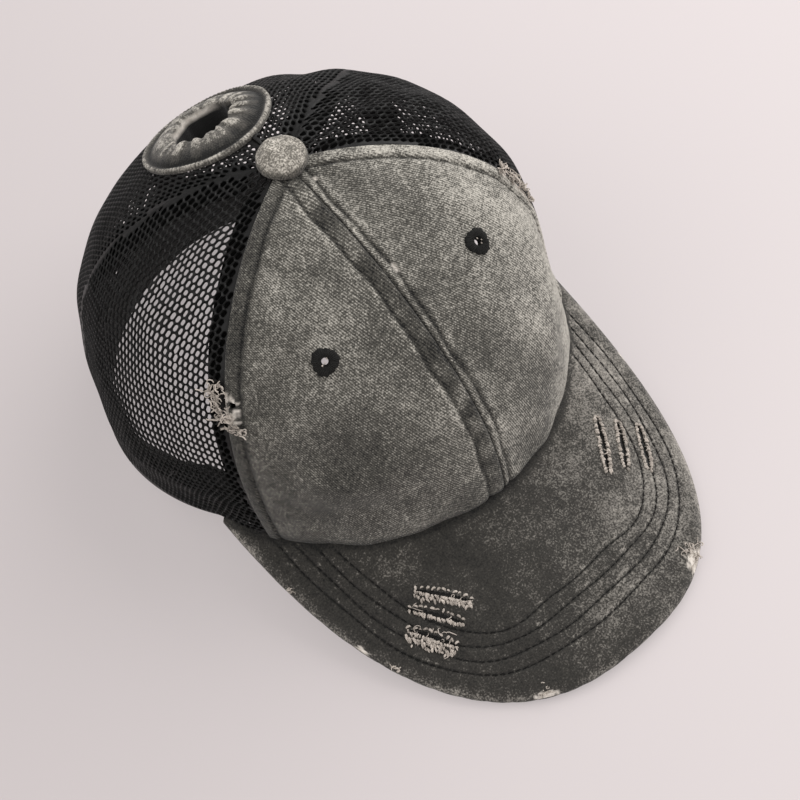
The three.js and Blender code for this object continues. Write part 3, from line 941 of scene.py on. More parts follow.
class Finish(Enum):
    """The cap's finishes, each made once."""

    PANEL = CottonFinish("Washed charcoal twill", (13, 13, 12), (81, 79, 73), (192, 188, 178), turn=0.0,
                         pitch=0.84, cloud=0.38, fleck=0.2, speck=0.5, weave=0.34, level=0.5, size=1.45)
    VISOR = CottonFinish("Visor charcoal twill", (14, 14, 13), (54, 52, 48), (162, 157, 149),
                         cloud=0.24, fleck=0.18, speck=0.4, weave=0.03, turn=-32.0, level=0.49, size=1.7)
    UNDER = CottonFinish("Visor lower twill", (20, 21, 19), (56, 56, 53), (140, 138, 130), turn=32.0,
                         cloud=0.2, speck=0.4, weave=0.12)
    BUTTON = CottonFinish("Button twill", (44, 42, 39), (114, 110, 102), (206, 200, 189),
                          cloud=0.1, fleck=0.16, speck=0.62, weave=0.12, turn=10.0, size=1.7)
    RING = CottonFinish("Gathered ring cotton", (16, 16, 15), (78, 75, 70), (190, 185, 175),
                        cloud=0.16, fleck=0.16, speck=0.24, weave=0.12, size=1.7)
    BAND = CottonFinish("Sweatband twill", (12, 12, 12), (28, 28, 27), (70, 70, 67), cloud=0.15)
    TAPE = YarnFinish("Seam tape", (3, 3, 3), (16, 16, 15), pitch=0.7, rough=0.85, specular=0.1)
    NET = YarnFinish("Black net", (2, 2, 2), (15, 15, 14), pitch=0.4, rough=0.44, specular=0.24)
    BOARD = YarnFinish("Visor board", (14, 13, 12), (34, 32, 29), pitch=1.6, rough=0.6)
    DARK_THREAD = YarnFinish("Dark thread", (5, 5, 5), (36, 36, 34), rough=0.8, specular=0.2, tone=0.5)
    LIGHT_THREAD = YarnFinish("Bare cotton thread", (96, 90, 83), (202, 193, 183), rough=0.9,
                              specular=0.2, tone=0.8)

    def get(self) -> bpy.types.Material:
        """The finish's material, made the first time that it is wanted."""
        made = bpy.data.materials.get(self.value.name)
        return made if made is not None else self.value.material()


@dataclass(frozen=True)
class WornWelt:
    """The bare spot on a side welt: its shares of the rise, width in mm, and its hole's place and size."""

    low: float
    high: float
    width: float
    hole_share: float
    hole_inset: float
    hole_half: float
    hole_tall: float


@dataclass
class FrontPanel:
    """One cotton front panel with its rolled side welt, its seam relief and its eyelet hole."""

    side: Side
    rows: int = 150
    columns: int = 108
    welt_width: float = 4.7
    welt_raise: float = 0.75
    eyelet_angle: float = 31.7
    eyelet_share: float = 0.488
    eyelet_gap: float = 2.3
    weave: tuple[float, float] = (12.0, 38.0)
    worn: tuple[WornWelt, WornWelt] = (WornWelt(0.24, 0.435, 3.4, 0.39, 1.6, 0.9, 1.7),
                                       WornWelt(0.3, 0.4, 4.6, 0.3635, 2.0, 1.3, 2.6))
    cut: tuple[float, float] = (0.098, 0.178)
    tuck: float = 1.1

    def grid(self) -> tuple[np.ndarray, np.ndarray]:
        """Angles and shares over the panel, in order of growing angle.

        Returns:
            the angles and the shares.
        """
        top = float(FORM.share_at_radius(np.array(0.4), FORM.top_hole))
        share = np.linspace(0, top, self.rows)[:, None]
        gap = 0.12 / np.maximum(FORM.plan_radius(np.array(0.0), share), 1.0)
        seam = FORM.side_seam(share)
        step = np.linspace(0, 1, self.columns)[None, :]
        if self.side is Side.RIGHT:
            return -seam + (seam - gap) * step, np.broadcast_to(share, (self.rows, self.columns))
        return gap + (seam - gap) * step, np.broadcast_to(share, (self.rows, self.columns))

    def relief(self, seam: np.ndarray, welt: np.ndarray, along: np.ndarray) -> np.ndarray:
        """Height of the cloth over the plain crown.

        Args:
            seam: mm from the centre seam, growing towards the wearer's left.
            welt: mm from the side seam.
            along: mm up from the rim.

        Returns:
            Height in mm.
        """
        seam = seam + self.wander(along) * smooth(np.abs(seam) / 1.0)
        ridge = 0.6 * bump(seam, -1.6, 3.2) - 0.7 * bump(seam, 0.0, 0.4)
        ridge = ridge - 0.5 * bump(seam, -6.6, 0.8) - 0.25 * bump(seam, -6.6, 2.5)
        ridge = ridge - 0.5 * bump(seam, 3.2, 0.7) + 0.22 * bump(seam, -7.9, 0.9)
        ridge = ridge + 0.2 * bump(seam, 4.6, 1.2)
        rolled = np.sqrt(np.maximum(0.0, 1 - ((welt - self.welt_width / 2) / (self.welt_width / 2)) ** 2))
        slant = np.sin(2 * math.pi * (along + 0.9 * welt) / 2.9 + 0.8 * np.sin(along / 7.0))
        roll = rolled * (self.welt_raise + 0.13 * slant)
        roll = roll - 0.55 * bump(welt, self.welt_width + 0.3, 0.6)
        pucker = np.sin(2 * math.pi * along / 6.3 + 1.9 * np.sin(along / 11.0))
        near = np.exp(-np.abs(welt - 6.0) / 6.0) * (welt > self.welt_width)
        close = np.exp(-np.maximum(0.0, np.abs(seam) - 7.0) / 5.0) * (np.abs(seam) > 4)
        folds = pucker * (0.16 * near + 0.09 * close)
        hem = -0.45 * bump(along, 0.0, 1.1) + 0.16 * bump(along, 3.2, 2.0)
        return ridge + roll + folds + hem

    def wander(self, along: np.ndarray) -> np.ndarray:
        """How far the centre seam's lines stray, in mm."""
        return 0.45 * np.sin(along / 8.5) + 0.28 * np.sin(along / 3.3 + 1.2)

    def marks(self, seam: np.ndarray, welt: np.ndarray, along: np.ndarray) -> dict[str, np.ndarray]:
        """Where the cloth is rubbed light, where it is deeply dyed, and where light and shade are painted on.

        Args:
            seam: mm from the middle seam.
            welt: mm from the side seam.
            along: mm up the panel.

        Returns:
            values on the points, by name.
        """
        seam = seam + self.wander(along) * smooth(np.abs(seam) / 1.0)
        left = self.side is Side.LEFT
        patchy = np.clip(0.75 + 0.9 * Ripples(6, 11, 1.0).at(seam * 0.4, along), 0, 1.4)
        wear = (0.6 * bump(seam, -8.0, 1.0) + 0.5 * bump(seam, 5.4, 1.7) + 0.35 * bump(seam, 1.6, 1.0))
        wear = wear + (0.5 if left else 0.0) * bump(welt, self.welt_width / 2, 1.7)
        speckled = Ripples(5, 16, 1.0).at(seam, along)
        wear = wear * (0.8 + 0.6 * speckled)
        # Painted light over the left panel's side towards the lamp, and painted shade over the lower right
        # panel away from it.
        lit = smooth((seam - 14) / 44) if left else 0.0 * seam
        shade = 0.0 * seam if left else smooth((-seam - 16) / 45) * smooth((95 - along) / 50)
        # Part of this lightening is painted light on the left panel's lit side.
        wear = wear + 0.2 * lit + 0.3 * bump(seam, 0.6, 9) * smooth(1 - along / 45) * patchy
        dye = 0.95 * bump(seam, -6.5, 0.7) + 0.62 * smooth((seam + 6.3) / 0.7) * (seam < -0.2) * patchy
        dye = dye + 0.75 * bump(seam, 0.0, 0.45) + 0.9 * bump(seam, 3.2, 0.6) * (0.6 + 0.5 * patchy)
        dye = dye + 0.3 * bump(seam, 4.6, 1.2) * patchy
        dye = dye + 0.85 * bump(welt, self.welt_width + 0.35, 0.6) + 0.9 * bump(along, 0.0, 0.9)
        # Painted shade darkens the lower right panel, and painted light lightens the left panel's lit side.
        dye = dye + 0.34 * shade - 0.5 * lit
        # The right panel's welt is made darker.
        if not left:
            dye = dye + 0.4 * smooth((self.welt_width + 3 - welt) / 3)
        return {"wear": np.clip(wear, 0, 1), "dye": np.clip(dye, -1, 1)}

    def torn(self, welt: np.ndarray, share: np.ndarray,
             along: np.ndarray) -> tuple[np.ndarray, np.ndarray]:
        """The worn spot on the side welt.

        Args:
            welt: mm from the side seam.
            share: share of the rise.
            along: mm up from the rim.

        Returns:
            How bare the cloth is, from 0 to 1, and the distance from the tear as a share of its size.
        """
        spot = self.worn[0 if self.side is Side.LEFT else 1]
        middle, reach = (spot.low + spot.high) / 2, (spot.high - spot.low) / 2
        ragged = 0.14 * np.sin(along * 2.3) + 0.12 * np.sin(along * 5.1 + 1.0) + 0.1 * np.sin(welt * 3.1)
        spread = np.hypot((share - middle) / reach, welt / spot.width)
        bare = smooth((1.0 + ragged - spread) / 0.2)
        centre = float(np.interp(spot.hole_share, share[:, 0], along[:, 0]))
        tear = np.hypot((welt - spot.hole_inset) / spot.hole_half, (along - centre) / spot.hole_tall)
        tear = tear + 0.8 * ragged
        return bare * smooth((tear - 0.9) / 0.25), tear

    def flecks(self, seam: np.ndarray, along: np.ndarray) -> np.ndarray:
        """Bare flecks along the centre seam's valley, from 0 to 1."""
        speckled = Ripples(7, 7, 1.0).at(seam * 0.6, along)
        return bump(seam + self.wander(along), 3.4, 0.6) * smooth((speckled - 1.1) / 0.3)

    def build(self) -> bpy.types.Object:
        """Make the panel and dress it.

        Returns:
            the dressed piece.
        """
        angle, share = self.grid()
        radius = FORM.plan_radius(angle, share)
        middle = angle[:, [self.columns // 2]]
        spine = FORM.point(middle[:, 0], share[:, 0], np.zeros(1))
        along = np.concatenate([[0], np.cumsum(np.linalg.norm(np.diff(spine, axis=0), axis=1))])
        along = np.broadcast_to(along[:, None], angle.shape)
        seam = radius * angle
        welt = radius * (FORM.side_seam(share) - np.abs(angle))
        height = self.relief(seam, welt, along)
        quiet = smooth(welt / 8) * smooth(np.abs(seam) / 8)
        height = height + quiet * Ripples(11, 26, 0.5).at(seam, along)
        height = height + quiet * Ripples(12, 9, 0.12).at(seam, along)
        crowd = smooth(radius / 16)
        outer = FORM.point(angle, share, -height * crowd)
        inner = FORM.point(angle, share, np.full(angle.shape, FORM.cotton_wall) - 0.4 * height * crowd)
        outer[0, :, 2] -= self.tuck
        inner[0, :, 2] -= self.tuck
        hole = Patch(math.radians(self.side.value * self.eyelet_angle), self.eyelet_share)
        centre = outer[:-1, :-1] + (outer[1:, 1:] - outer[:-1, :-1]) / 2
        bare, tear = self.torn(welt, share, along)
        keep = (np.linalg.norm(centre - hole.origin, axis=-1) > self.eyelet_gap) & (tear[:-1, :-1] > 0.8)
        turn = math.radians(self.weave[0] if self.side is Side.LEFT else self.weave[1])
        across = radius * (angle - middle)
        uv = np.stack([across * math.cos(turn) + along * math.sin(turn),
                       along * math.cos(turn) - across * math.sin(turn)], -1) * MM
        name = f"panel_cloth_{self.side.word}"
        marks = self.marks(seam, welt, along)
        marks["bare"] = np.clip(bare + self.flecks(seam, along), 0, 1)
        cloth = shell(outer, inner, uv, marks, keep=keep)
        piece = cloth.build(name, Finish.PANEL.get())
        return dress(piece, "washed_cotton", f"front_panel_{self.side.word}",
                     flat=self.cut, held="stretched", rests=("visor_board",))


def dress(piece: bpy.types.Object, slot: str, *nodes: str, flat: tuple[float, float] | None = None,
          area: float | None = None, held: str = "stretched",
          rests: tuple[str, ...] = ()) -> bpy.types.Object:
    """Attach a piece to the cap's body, hide the CAD nodes that it stands for, and log its faces.

    Args:
        piece: the new piece.
        slot: not used.
        nodes: CAD nodes that it replaces.
        flat: not used.
        area: not used.
        held: not used.
        rests: not used.

    Returns:
        The piece.
    """
    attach(piece, BODY)
    if nodes:
        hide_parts(*nodes)
    log.info("%s: %d faces", piece.name, len(piece.data.polygons))
    return piece


@dataclass
class NetGore:
    """One gore of black net, knitted with real oval holes."""

    name: str
    node: str
    start: float
    end: float
    cut: tuple[float, float]
    pitch: float = 2.15
    row_gap: float = 2.85
    tip: float = 1.98
    lean: float = 2.5
    hole_across: float = 0.8
    hole_along: float = 1.24
    selvedge: float = 0.95
    crest: float = 0.15
    thick: float = 1.0
    ring_angle: float = -174.5
    ring_share: float = 0.731
    ring_gap: float = 18.0
    lean_centre: float = 55.0
    columns_each_way: int = 36
    first_row: int = -4
    last_row: int = 65
    over_seam: float = 1.4
    over_rim: float = 1.6
    over_tip: float = 9.0
    whole_tip: float = 3.0
    uneven: float = 0.1
    seed: int = 3

    def limits(self, share: np.ndarray) -> tuple[np.ndarray, np.ndarray]:
        """The gore's angles at a share of the rise, smaller first."""
        ends = FORM.seam(self.start, share), FORM.seam(self.end, share)
        return np.minimum(*ends), np.maximum(*ends)

    def spine(self) -> tuple[float, np.ndarray, np.ndarray, np.ndarray, np.ndarray]:
        """The middle line: its angle, and tables of share, length, radius and cone slant.

        Returns:
            the angle and the four tables, lengths in mm.
        """
        turn = math.radians((self.start + self.end) / 2)
        top = float(FORM.share_at_radius(np.array(turn), FORM.top_hole))
        share = np.linspace(0, top, 300)
        line = FORM.point(np.array(turn), share, np.zeros(1))
        length = np.concatenate([[0], np.cumsum(np.linalg.norm(np.diff(line, axis=0), axis=1))])
        radius = FORM.plan_radius(np.array(turn), share)
        lean = np.gradient(radius, length)
        slant = -radius / np.where(np.abs(lean) < 0.03, np.where(lean > 0, 0.03, -0.03), lean)
        return turn, share, length, radius, slant

    def unroll(self, flat: np.ndarray) -> tuple[np.ndarray, np.ndarray]:
        """Crown angles and shares of points of the flat cut.

        Args:
            flat: mm across from the middle line and up from the rim.

        Returns:
            Angles and shares.
        """
        turn, shares, lengths, radii, slants = self.spine()
        lean = math.radians(self.lean)
        across = flat[..., 0] * math.cos(lean) + flat[..., 1] * math.sin(lean)
        up = flat[..., 1] * math.cos(lean) - flat[..., 0] * math.sin(lean)
        across = across - self.lean_centre * math.sin(lean) + Ripples(22, 34, 0.5).at(across, up)
        up = up + Ripples(23, 30, 0.5).at(across, up)
        along = up.copy()
        for _ in range(8):
            slant = np.interp(along, lengths, slants)
            bow = np.arcsin(np.clip(across / slant, -0.99, 0.99))
            along = 0.4 * along + 0.6 * (up - slant * (1 - np.cos(bow)))
        radius = np.interp(along, lengths, radii)
        angle = turn + bow * slant / np.maximum(radius, 0.5)
        return angle, np.interp(along, lengths, shares), along

    def cells(self) -> tuple[np.ndarray, np.ndarray]:
        """The cells' corners and oval rings, about their centres in mm.

        Returns:
            the corners and the rings.
        """
        half, tip, side = self.pitch / 2, self.tip, self.row_gap - self.tip
        middle = (tip + side) / 2
        corner = [(half, -side), (half, side), (half / 2, middle), (0, tip), (-half / 2, middle),
                  (-half, side), (-half, -side), (-half / 2, -middle), (0, -tip), (half / 2, -middle)]
        turn = np.radians([-33, 33, 62, 90, 118, 147, 213, 242, 270, 298])
        oval = np.stack([self.hole_across * np.cos(turn), self.hole_along * np.sin(turn)], -1)
        return np.array(corner), oval

    def build(self) -> bpy.types.Object:
        """Knit the gore.

        Returns:
            the dressed piece.
        """
        corner, oval = self.cells()
        across = np.arange(-self.columns_each_way, self.columns_each_way + 1)
        up = np.arange(self.first_row, self.last_row + 1)
        grid_x, grid_y = np.meshgrid(across * self.pitch, up * self.row_gap)
        grid_x = grid_x + (up % 2)[:, None] * self.pitch / 2
        centre = np.stack([grid_x.ravel(), grid_y.ravel()], -1)
        tall = float(self.spine()[2][-1])
        centre = centre[(centre[:, 1] > -3 * self.row_gap) & (centre[:, 1] < tall + self.over_tip)]
        angle, share, along = self.unroll(centre)
        low, high = self.limits(share)
        radius = FORM.plan_radius(angle, share)
        inside = np.minimum(radius * (angle - low), radius * (high - angle))
        place = FORM.point(angle, share, np.zeros(1))
        ring = Patch(math.radians(self.ring_angle), self.ring_share)
        far = np.linalg.norm(place - ring.origin, axis=-1)
        stay = (inside > -self.over_seam) & (along > -self.over_rim)
        stay &= (along < tall + 0.5) & (far > self.ring_gap)
        centre, inside, along = centre[stay], inside[stay], along[stay]
        room = np.minimum(inside, along)
        pierced = (room > self.selvedge) & (along < tall - self.whole_tip)
        knots = np.random.default_rng(self.seed)
        corners = centre[:, None] + corner[None]
        keys, ids = np.unique(np.round(corners.reshape(-1, 2), 3), axis=0, return_inverse=True)
        ids = ids.reshape(len(centre), 10)
        count = len(keys)
        jitter = 1 + self.uneven * knots.standard_normal((len(centre), 1, 2))
        holes = (centre[:, None] + oval[None] * jitter)[pierced].reshape(-1, 2)
        crest = self.lay(keys, self.crest)
        floor = self.lay(keys, self.crest + self.thick)
        upper = self.lay(holes, self.crest + 0.36 * self.thick)
        lower = self.lay(holes, self.crest + 0.7 * self.thick)
        points = np.concatenate([crest, floor, upper, lower])
        faces = self.faces(ids, pierced, count, len(holes))
        piece = Cloth(points, faces).build(self.name, Finish.NET.get(), 80.0)
        return dress(piece, "net", self.node, flat=self.cut, held="stretched",
                     rests=("sweatband_cloth",))

    def lay(self, flat: np.ndarray, inset: float) -> np.ndarray:
        """Points of the cut on the crown, held inside the gore's seams."""
        angle, share, _ = self.unroll(flat)
        low, high = self.limits(share)
        angle = np.clip(angle, low, high)
        sag = Ripples(21, 30, 0.55).at(angle * 84, share * 150) * smooth(share / 0.1)
        return FORM.point(angle, share, inset + sag)

    def faces(self, ids: np.ndarray, pierced: np.ndarray, count: int, rings: int) -> list:
        """Faces of whole cells, pierced cells and the cut edge.

        Args:
            ids: each cell's corner points.
            pierced: cells with a hole.
            count: points in one face.
            rings: points in one face's rings.

        Returns:
            the faces.
        """
        ring_ids = np.arange(rings).reshape(-1, 10) + 2 * count
        open_ids = ids[pierced]
        nxt = np.roll(open_ids, -1, axis=1)
        ring_nxt = np.roll(ring_ids, -1, axis=1)
        bands = [np.stack([open_ids, nxt, ring_nxt, ring_ids], -1),
                 np.stack([ring_ids, ring_nxt, ring_nxt + rings, ring_ids + rings], -1),
                 np.stack([ring_ids + rings, ring_nxt + rings, nxt + count, open_ids + count], -1)]
        faces = [tuple(face) for band in bands for face in band.reshape(-1, 4).tolist()]
        for face in ids[~pierced].tolist():
            faces.append(tuple(face))
            faces.append(tuple(index + count for index in reversed(face)))
        edges = np.stack([ids, np.roll(ids, -1, axis=1)], -1).reshape(-1, 2)
        there = edges[:, 0].astype(np.int64) * count + edges[:, 1]
        back = edges[:, 1].astype(np.int64) * count + edges[:, 0]
        rim = edges[~np.isin(back, there)]
        side = np.stack([rim[:, 1], rim[:, 0], rim[:, 0] + count, rim[:, 1] + count], -1)
        return faces + [tuple(face) for face in side.tolist()]


@dataclass
class SeamTape:
    """A tape sewn behind a crown seam."""

    name: str
    angle: float
    from_share: float = 0.0
    to_share: float = 0.93
    width: float = 14.0
    crowding: float = 22.0
    inset: float = 1.8
    rise_length: float = 190.0
    rows: int = 110
    columns: int = 12

    def build(self) -> bpy.types.Object:
        """Lay the tape along its seam.

        Returns:
            the dressed piece.
        """
        share = np.linspace(self.from_share, self.to_share, self.rows)[:, None]
        seam = FORM.seam(self.angle, share)
        radius = FORM.plan_radius(seam, share)
        half = np.minimum(self.width / 2 / radius, math.radians(self.crowding))
        side = np.linspace(-1, 1, self.columns)[None, :]
        angle = seam + half * side
        share = np.broadcast_to(share, angle.shape)
        along = share * self.rise_length
        rolled = 0.25 * (1 - side ** 4) + 0.1 * np.sin(along / 4.0) * (1 - side ** 2)
        outer = FORM.point(angle, share, self.inset + 0.3 - rolled)
        inner = FORM.point(angle, share, np.full(angle.shape, self.inset + FORM.tape_wall))
        uv = np.stack([side * self.width / 2 + 0 * along, along], -1) * MM
        piece = shell(outer, inner, uv).build(f"{self.name}_band", Finish.TAPE.get())
        length = float(np.sum(np.linalg.norm(np.diff(outer[:, self.columns // 2], axis=0), axis=1))) * MM
        return dress(piece, "tape", self.name, flat=(self.width * MM, length), held="stretched",
                     rests=("sweatband_cloth",))


@dataclass
class Sweatband:
    """The band inside the rim, folded at its foot, with a stitched upper edge."""

    length: float = 0.555
    height: float = 28.0
    rows: int = 18
    columns: int = 200
    foot: float = 1.8
    inset: float = 3.2

    def surface(self, angle: np.ndarray, height: np.ndarray, deep: float) -> np.ndarray:
        """Points of the band at a height over the rim."""
        share = FORM.share_at_height(angle, height)
        ease = smooth(height / (0.35 * self.height))
        edge = 0.25 * bump(height, self.height, 1.2) + 0.25 * bump(height, 0, 1.0)
        wave = Ripples(31, 40, 0.25).at(angle * 85, height) * ease
        return FORM.point(angle, share, self.foot + (self.inset - self.foot) * ease + deep + edge + wave)

    def build(self) -> bpy.types.Object:
        """Make the band as one closed loop.

        Returns:
            the dressed piece.
        """
        angle = np.linspace(0, 2 * math.pi, self.columns, endpoint=False)[None, :]
        angle = np.where(angle > math.pi, angle - 2 * math.pi, angle)
        height = np.linspace(0.4, self.height, self.rows)[:, None]
        angle, height = np.broadcast_arrays(angle, height)
        outer = self.surface(angle, height, 0.0)
        inner = self.surface(angle, height, FORM.sweatband_wall)
        run = np.linspace(0, self.length, self.columns)[None, :] + 0 * height
        uv = np.stack([run, height * MM], -1)
        marks = {"wear": 0.35 * bump(height, 0, 1.5) + 0.2 * bump(height, self.height, 1.0),
                 "dye": bump(height, self.height - 3, 0.6) + bump(height, 4, 0.6)}
        piece = shell(outer, inner, uv, marks, loops=True).build("sweatband_cloth", Finish.BAND.get())
        return dress(piece, "sweatband", "sweatband", flat=(self.length, self.height * MM), held="stretched",
                     rests=("visor_board",))


@dataclass(frozen=True)
class Slash:
    """A worn slit in the visor's upper cloth, from its crown end to its edge end in mm."""

    near: tuple[float, float]
    far: tuple[float, float]
    curl: float = 0.1
    rows: int = 1


SLASHES = (
    Slash((46.2, -96.8), (33.7, -114.9)),
    Slash((51.7, -101.7), (40.5, -117.0)),
    Slash((58.1, -105.7), (47.7, -121.5)),
    Slash((-46.8, -101.4), (-35.0, -117.6), rows=2),
    Slash((-52.4, -103.8), (-41.7, -120.6)),
    Slash((-57.1, -108.2), (-48.7, -123.4), 1.0, 3),
)


@dataclass
class Visor:
    """The visor's two cloths, sewn in rows over its board."""

    rows: int = 118
    columns: int = 300
    under_rows: int = 52
    under_columns: int = 156
    sewn: int = 4
    side_inset: float = 5.6
    front_inset: float = 7.7
    front_spread: float = 51.0
    row_gap: float = 4.1
    row_spread: float = 1.25
    stitch: float = 2.7
    groove: float = 0.42
    slit: float = 0.8
    bend: float = 0.35
    bare_spots: tuple[tuple[float, float, float], ...] = ((208.0, 5.6, 4.0), (131.0, 4.2, 1.5),
                                                          (64.0, 2.5, 0.9), (296.0, 2.2, 0.8))
    edge_search: float = 8.0
    edge_margin: float = 0.8
    cut: tuple[float, float] = (0.178, 0.098)
    edge: np.ndarray = field(init=False)
    run: np.ndarray = field(init=False)

    def __post_init__(self) -> None:
        """Keep the outline for measuring distances."""
        x, y = FORM.outline(np.linspace(-1, 1, 900), 0.0)
        self.edge = np.stack([x, y], -1)
        steps = np.linalg.norm(np.diff(self.edge, axis=0), axis=1)
        self.run = np.concatenate([[0], np.cumsum(steps)])

    def trace(self, x: np.ndarray, y: np.ndarray) -> tuple[np.ndarray, np.ndarray]:
        """Distance in from the visor's edge, and the length along it, both in mm.

        Args:
            x: mm across.
            y: mm from the front.

        Returns:
            the distances and the lengths.
        """
        flat = np.stack([x.ravel(), y.ravel()], -1)
        out = np.empty(len(flat))
        near = np.empty(len(flat), dtype=int)
        for start in range(0, len(flat), 4000):
            part = flat[start:start + 4000]
            gap = ((part[:, None] - self.edge[None]) ** 2).sum(-1)
            near[start:start + 4000] = gap.argmin(1)
            out[start:start + 4000] = np.sqrt(gap.min(1))
        return out.reshape(x.shape), self.run[near].reshape(x.shape)

    def on_cloth(self, spot: np.ndarray, inward: np.ndarray) -> np.ndarray:
        """A spot near the edge, moved in until it lies on the cloth.

        Args:
            spot: the spot in mm.
            inward: the way to the middle of the visor.

        Returns:
            The spot in mm, at least the edge margin in from the edge.
        """
        steps = spot + inward * np.arange(0.0, self.edge_search, 0.1)[:, None]
        gaps = self.trace(steps[:, 0], steps[:, 1])[0]
        nearest = int(gaps.argmin())
        return steps[nearest] + inward * max(0.0, self.edge_margin - gaps[nearest])

    def row_depth(self, number: int, run: np.ndarray) -> np.ndarray:
        """How far in from the edge a stitch row lies, at a length along the edge."""
        off = np.abs(run - self.run[-1] / 2)
        front = np.exp(-((off / self.front_spread) ** 3))
        first = self.side_inset + self.front_inset * front + 2.2 * smooth((off - 80) / 85)
        waver = 0.25 * np.sin(run / 7.0 + 2.0 * number)
        return first + waver + number * (self.row_gap + self.row_spread * front)

    def core(self, edge: np.ndarray) -> np.ndarray:
        """Half the room that the cloths leave for the board."""
        return 0.15 + 0.95 * smooth(edge / FORM.hem)

    def rounding(self, edge: np.ndarray) -> np.ndarray:
        """The cloth's thickness, rolled over at the edge."""
        held = np.clip(edge, 0.0, 1.0)
        return FORM.visor_cloth * np.sqrt(np.maximum(0.0, 1 - (1 - held) ** 2))

    def relief(self, x: np.ndarray, y: np.ndarray, edge: np.ndarray, run: np.ndarray) -> np.ndarray:
        """Height of grooves, quilting and ripples over the plain cloth.

        Args:
            x: mm across.
            y: mm along.
            edge: mm in from the edge.
            run: mm along the edge.

        Returns:
            heights in mm.
        """
        total = np.zeros(x.shape)
        pull = 0.75 + 0.25 * np.cos(2 * math.pi * run / self.stitch)
        for number in range(self.sewn):
            gap = edge - self.row_depth(number, run)
            total = total - self.groove * pull * bump(gap, 0.0, 0.5) - 0.12 * bump(gap, 0.0, 1.5)
        quilted = smooth((edge - 4) / 3) * smooth((34 - edge) / 4)
        total = total + quilted * Ripples(41, 5.5, 0.13).at(run, edge * 1.4)
        total = total + 0.2 * bump(edge, 3.0, 2.0) + Ripples(42, 24, 0.3).at(x, y) * smooth(edge / 6)
        return total + Ripples(43, 4.0, 0.05).at(x, y)

    def top(self, x: np.ndarray, y: np.ndarray) -> np.ndarray:
        """Height of the upper cloth's face."""
        edge, run = self.trace(x, y)
        inner = self.crown_gap(x, y)
        still = smooth(edge / 1.5) * smooth(inner / 5)
        return (FORM.visor_mid(x, y) + self.core(edge) + self.rounding(edge)
                + self.relief(x, y, edge, run) * still)

    def crown_gap(self, x: np.ndarray, y: np.ndarray) -> np.ndarray:
        """Distance in mm ahead of the crown's rim."""
        angle = np.arctan2(x, -y)
        return np.hypot(x, y) - FORM.rim_reach(angle)

    def plan(self, rows: int, columns: int) -> tuple[np.ndarray, np.ndarray]:
        """A grid over the visor, from its edge in to the crown.

        Args:
            rows: rows from edge to crown.
            columns: columns round.

        Returns:
            x and y in mm.
        """
        share = np.linspace(-1, 1, columns)[None, :]
        step = np.linspace(0, 1, rows)[:, None] ** 1.2
        out_x, out_y = FORM.outline(share, 0.0)
        turn = share * math.radians(FORM.visor_corner)
        reach = FORM.rim_reach(turn) - FORM.cotton_wall
        in_x, in_y = reach * np.sin(turn), -reach * np.cos(turn)
        return out_x + (in_x - out_x) * step, out_y + (in_y - out_y) * step

    def slit_gap(self, x: np.ndarray, y: np.ndarray, slash: Slash) -> tuple[np.ndarray, np.ndarray]:
        """Distance across a slit over its half width there, and mm from its middle line.

        Args:
            x: mm across.
            y: mm along.
            slash: the slit.

        Returns:
            the share and the distance.
        """
        near, far = np.array(slash.near), np.array(slash.far)
        length = np.linalg.norm(far - near)
        way = (far - near) / length
        along = ((x - near[0]) * way[0] + (y - near[1]) * way[1]) / length
        across = -(x - near[0]) * way[1] + (y - near[1]) * way[0]
        bend = self.bend * np.sin(math.pi * np.clip(along, 0, 1))
        half = self.slit * np.sqrt(np.maximum(1e-6, 4 * along * (1 - along)))
        inside = (along > 0) & (along < 1)
        return np.where(inside, np.abs(across - bend) / half, 99.0), np.abs(across - bend)

    def marks(self, x: np.ndarray, y: np.ndarray, edge: np.ndarray,
              run: np.ndarray) -> dict[str, np.ndarray]:
        """Rubbed edges, deep grooves, bare spots, pale cloth beside the slits, and painted light towards the
        wearer's left with painted shade towards the right.

        Args:
            x: mm across.
            y: mm along.
            edge: mm in from the edge.
            run: mm along the edge.

        Returns:
            values on the points, by name.
        """
        blotch = Ripples(44, 26, 1.0).at(x, y)
        # The last term is painted light, growing towards the wearer's left, the lit side.
        wear = (0.3 + 0.3 * blotch) * bump(edge, 0.3, 0.8) + 0.12 * smooth((x + 5) / 75)
        wear = wear + 0.1 * np.clip(Ripples(45, 14, 1.0).at(x, y), 0, 1)
        # Painted shade towards the wearer's right, and on the next line painted light towards the wearer's
        # left.
        dye = 0.16 * smooth(0.5 - blotch) + 0.3 * smooth((-x + 5) / 60) * smooth((edge - 1) / 3)
        dye = dye - 0.42 * smooth((x - 5) / 62) * (0.8 + 0.3 * blotch)
        dash = 0.65 + 0.35 * np.cos(2 * math.pi * run / self.stitch)
        for number in range(self.sewn):
            gap = edge - self.row_depth(number, run)
            dye = dye + 0.8 * dash * bump(gap, 0.0, 0.42)
            fleck = np.clip(Ripples(46 + number, 5, 1.2).at(run, edge * 0.2), 0, 1)
            wear = wear + 0.7 * fleck * (bump(gap, 0.9, 0.45) + 0.6 * bump(gap, -0.9, 0.45))
        for slash in SLASHES:
            share, gap = self.slit_gap(x, y, slash)
            wear = wear + 0.25 * np.exp(-(gap / 1.6) ** 2) * (share < 90)
        dye = dye + 0.7 * bump(self.crown_gap(x, y), 0.0, 1.6)
        bare = np.zeros(x.shape)
        ragged = 0.16 * np.sin(run * 2.1) + 0.12 * np.sin(run * 4.7 + 1) + 0.1 * np.sin(edge * 3)
        for place, half, deep in self.bare_spots:
            spread = np.hypot((run - place) / half, edge / deep)
            bare = np.maximum(bare, smooth((1.0 + ragged - spread) / 0.22))
        return {"wear": np.clip(wear, 0, 1.2), "dye": np.clip(dye, -1, 1), "bare": bare}

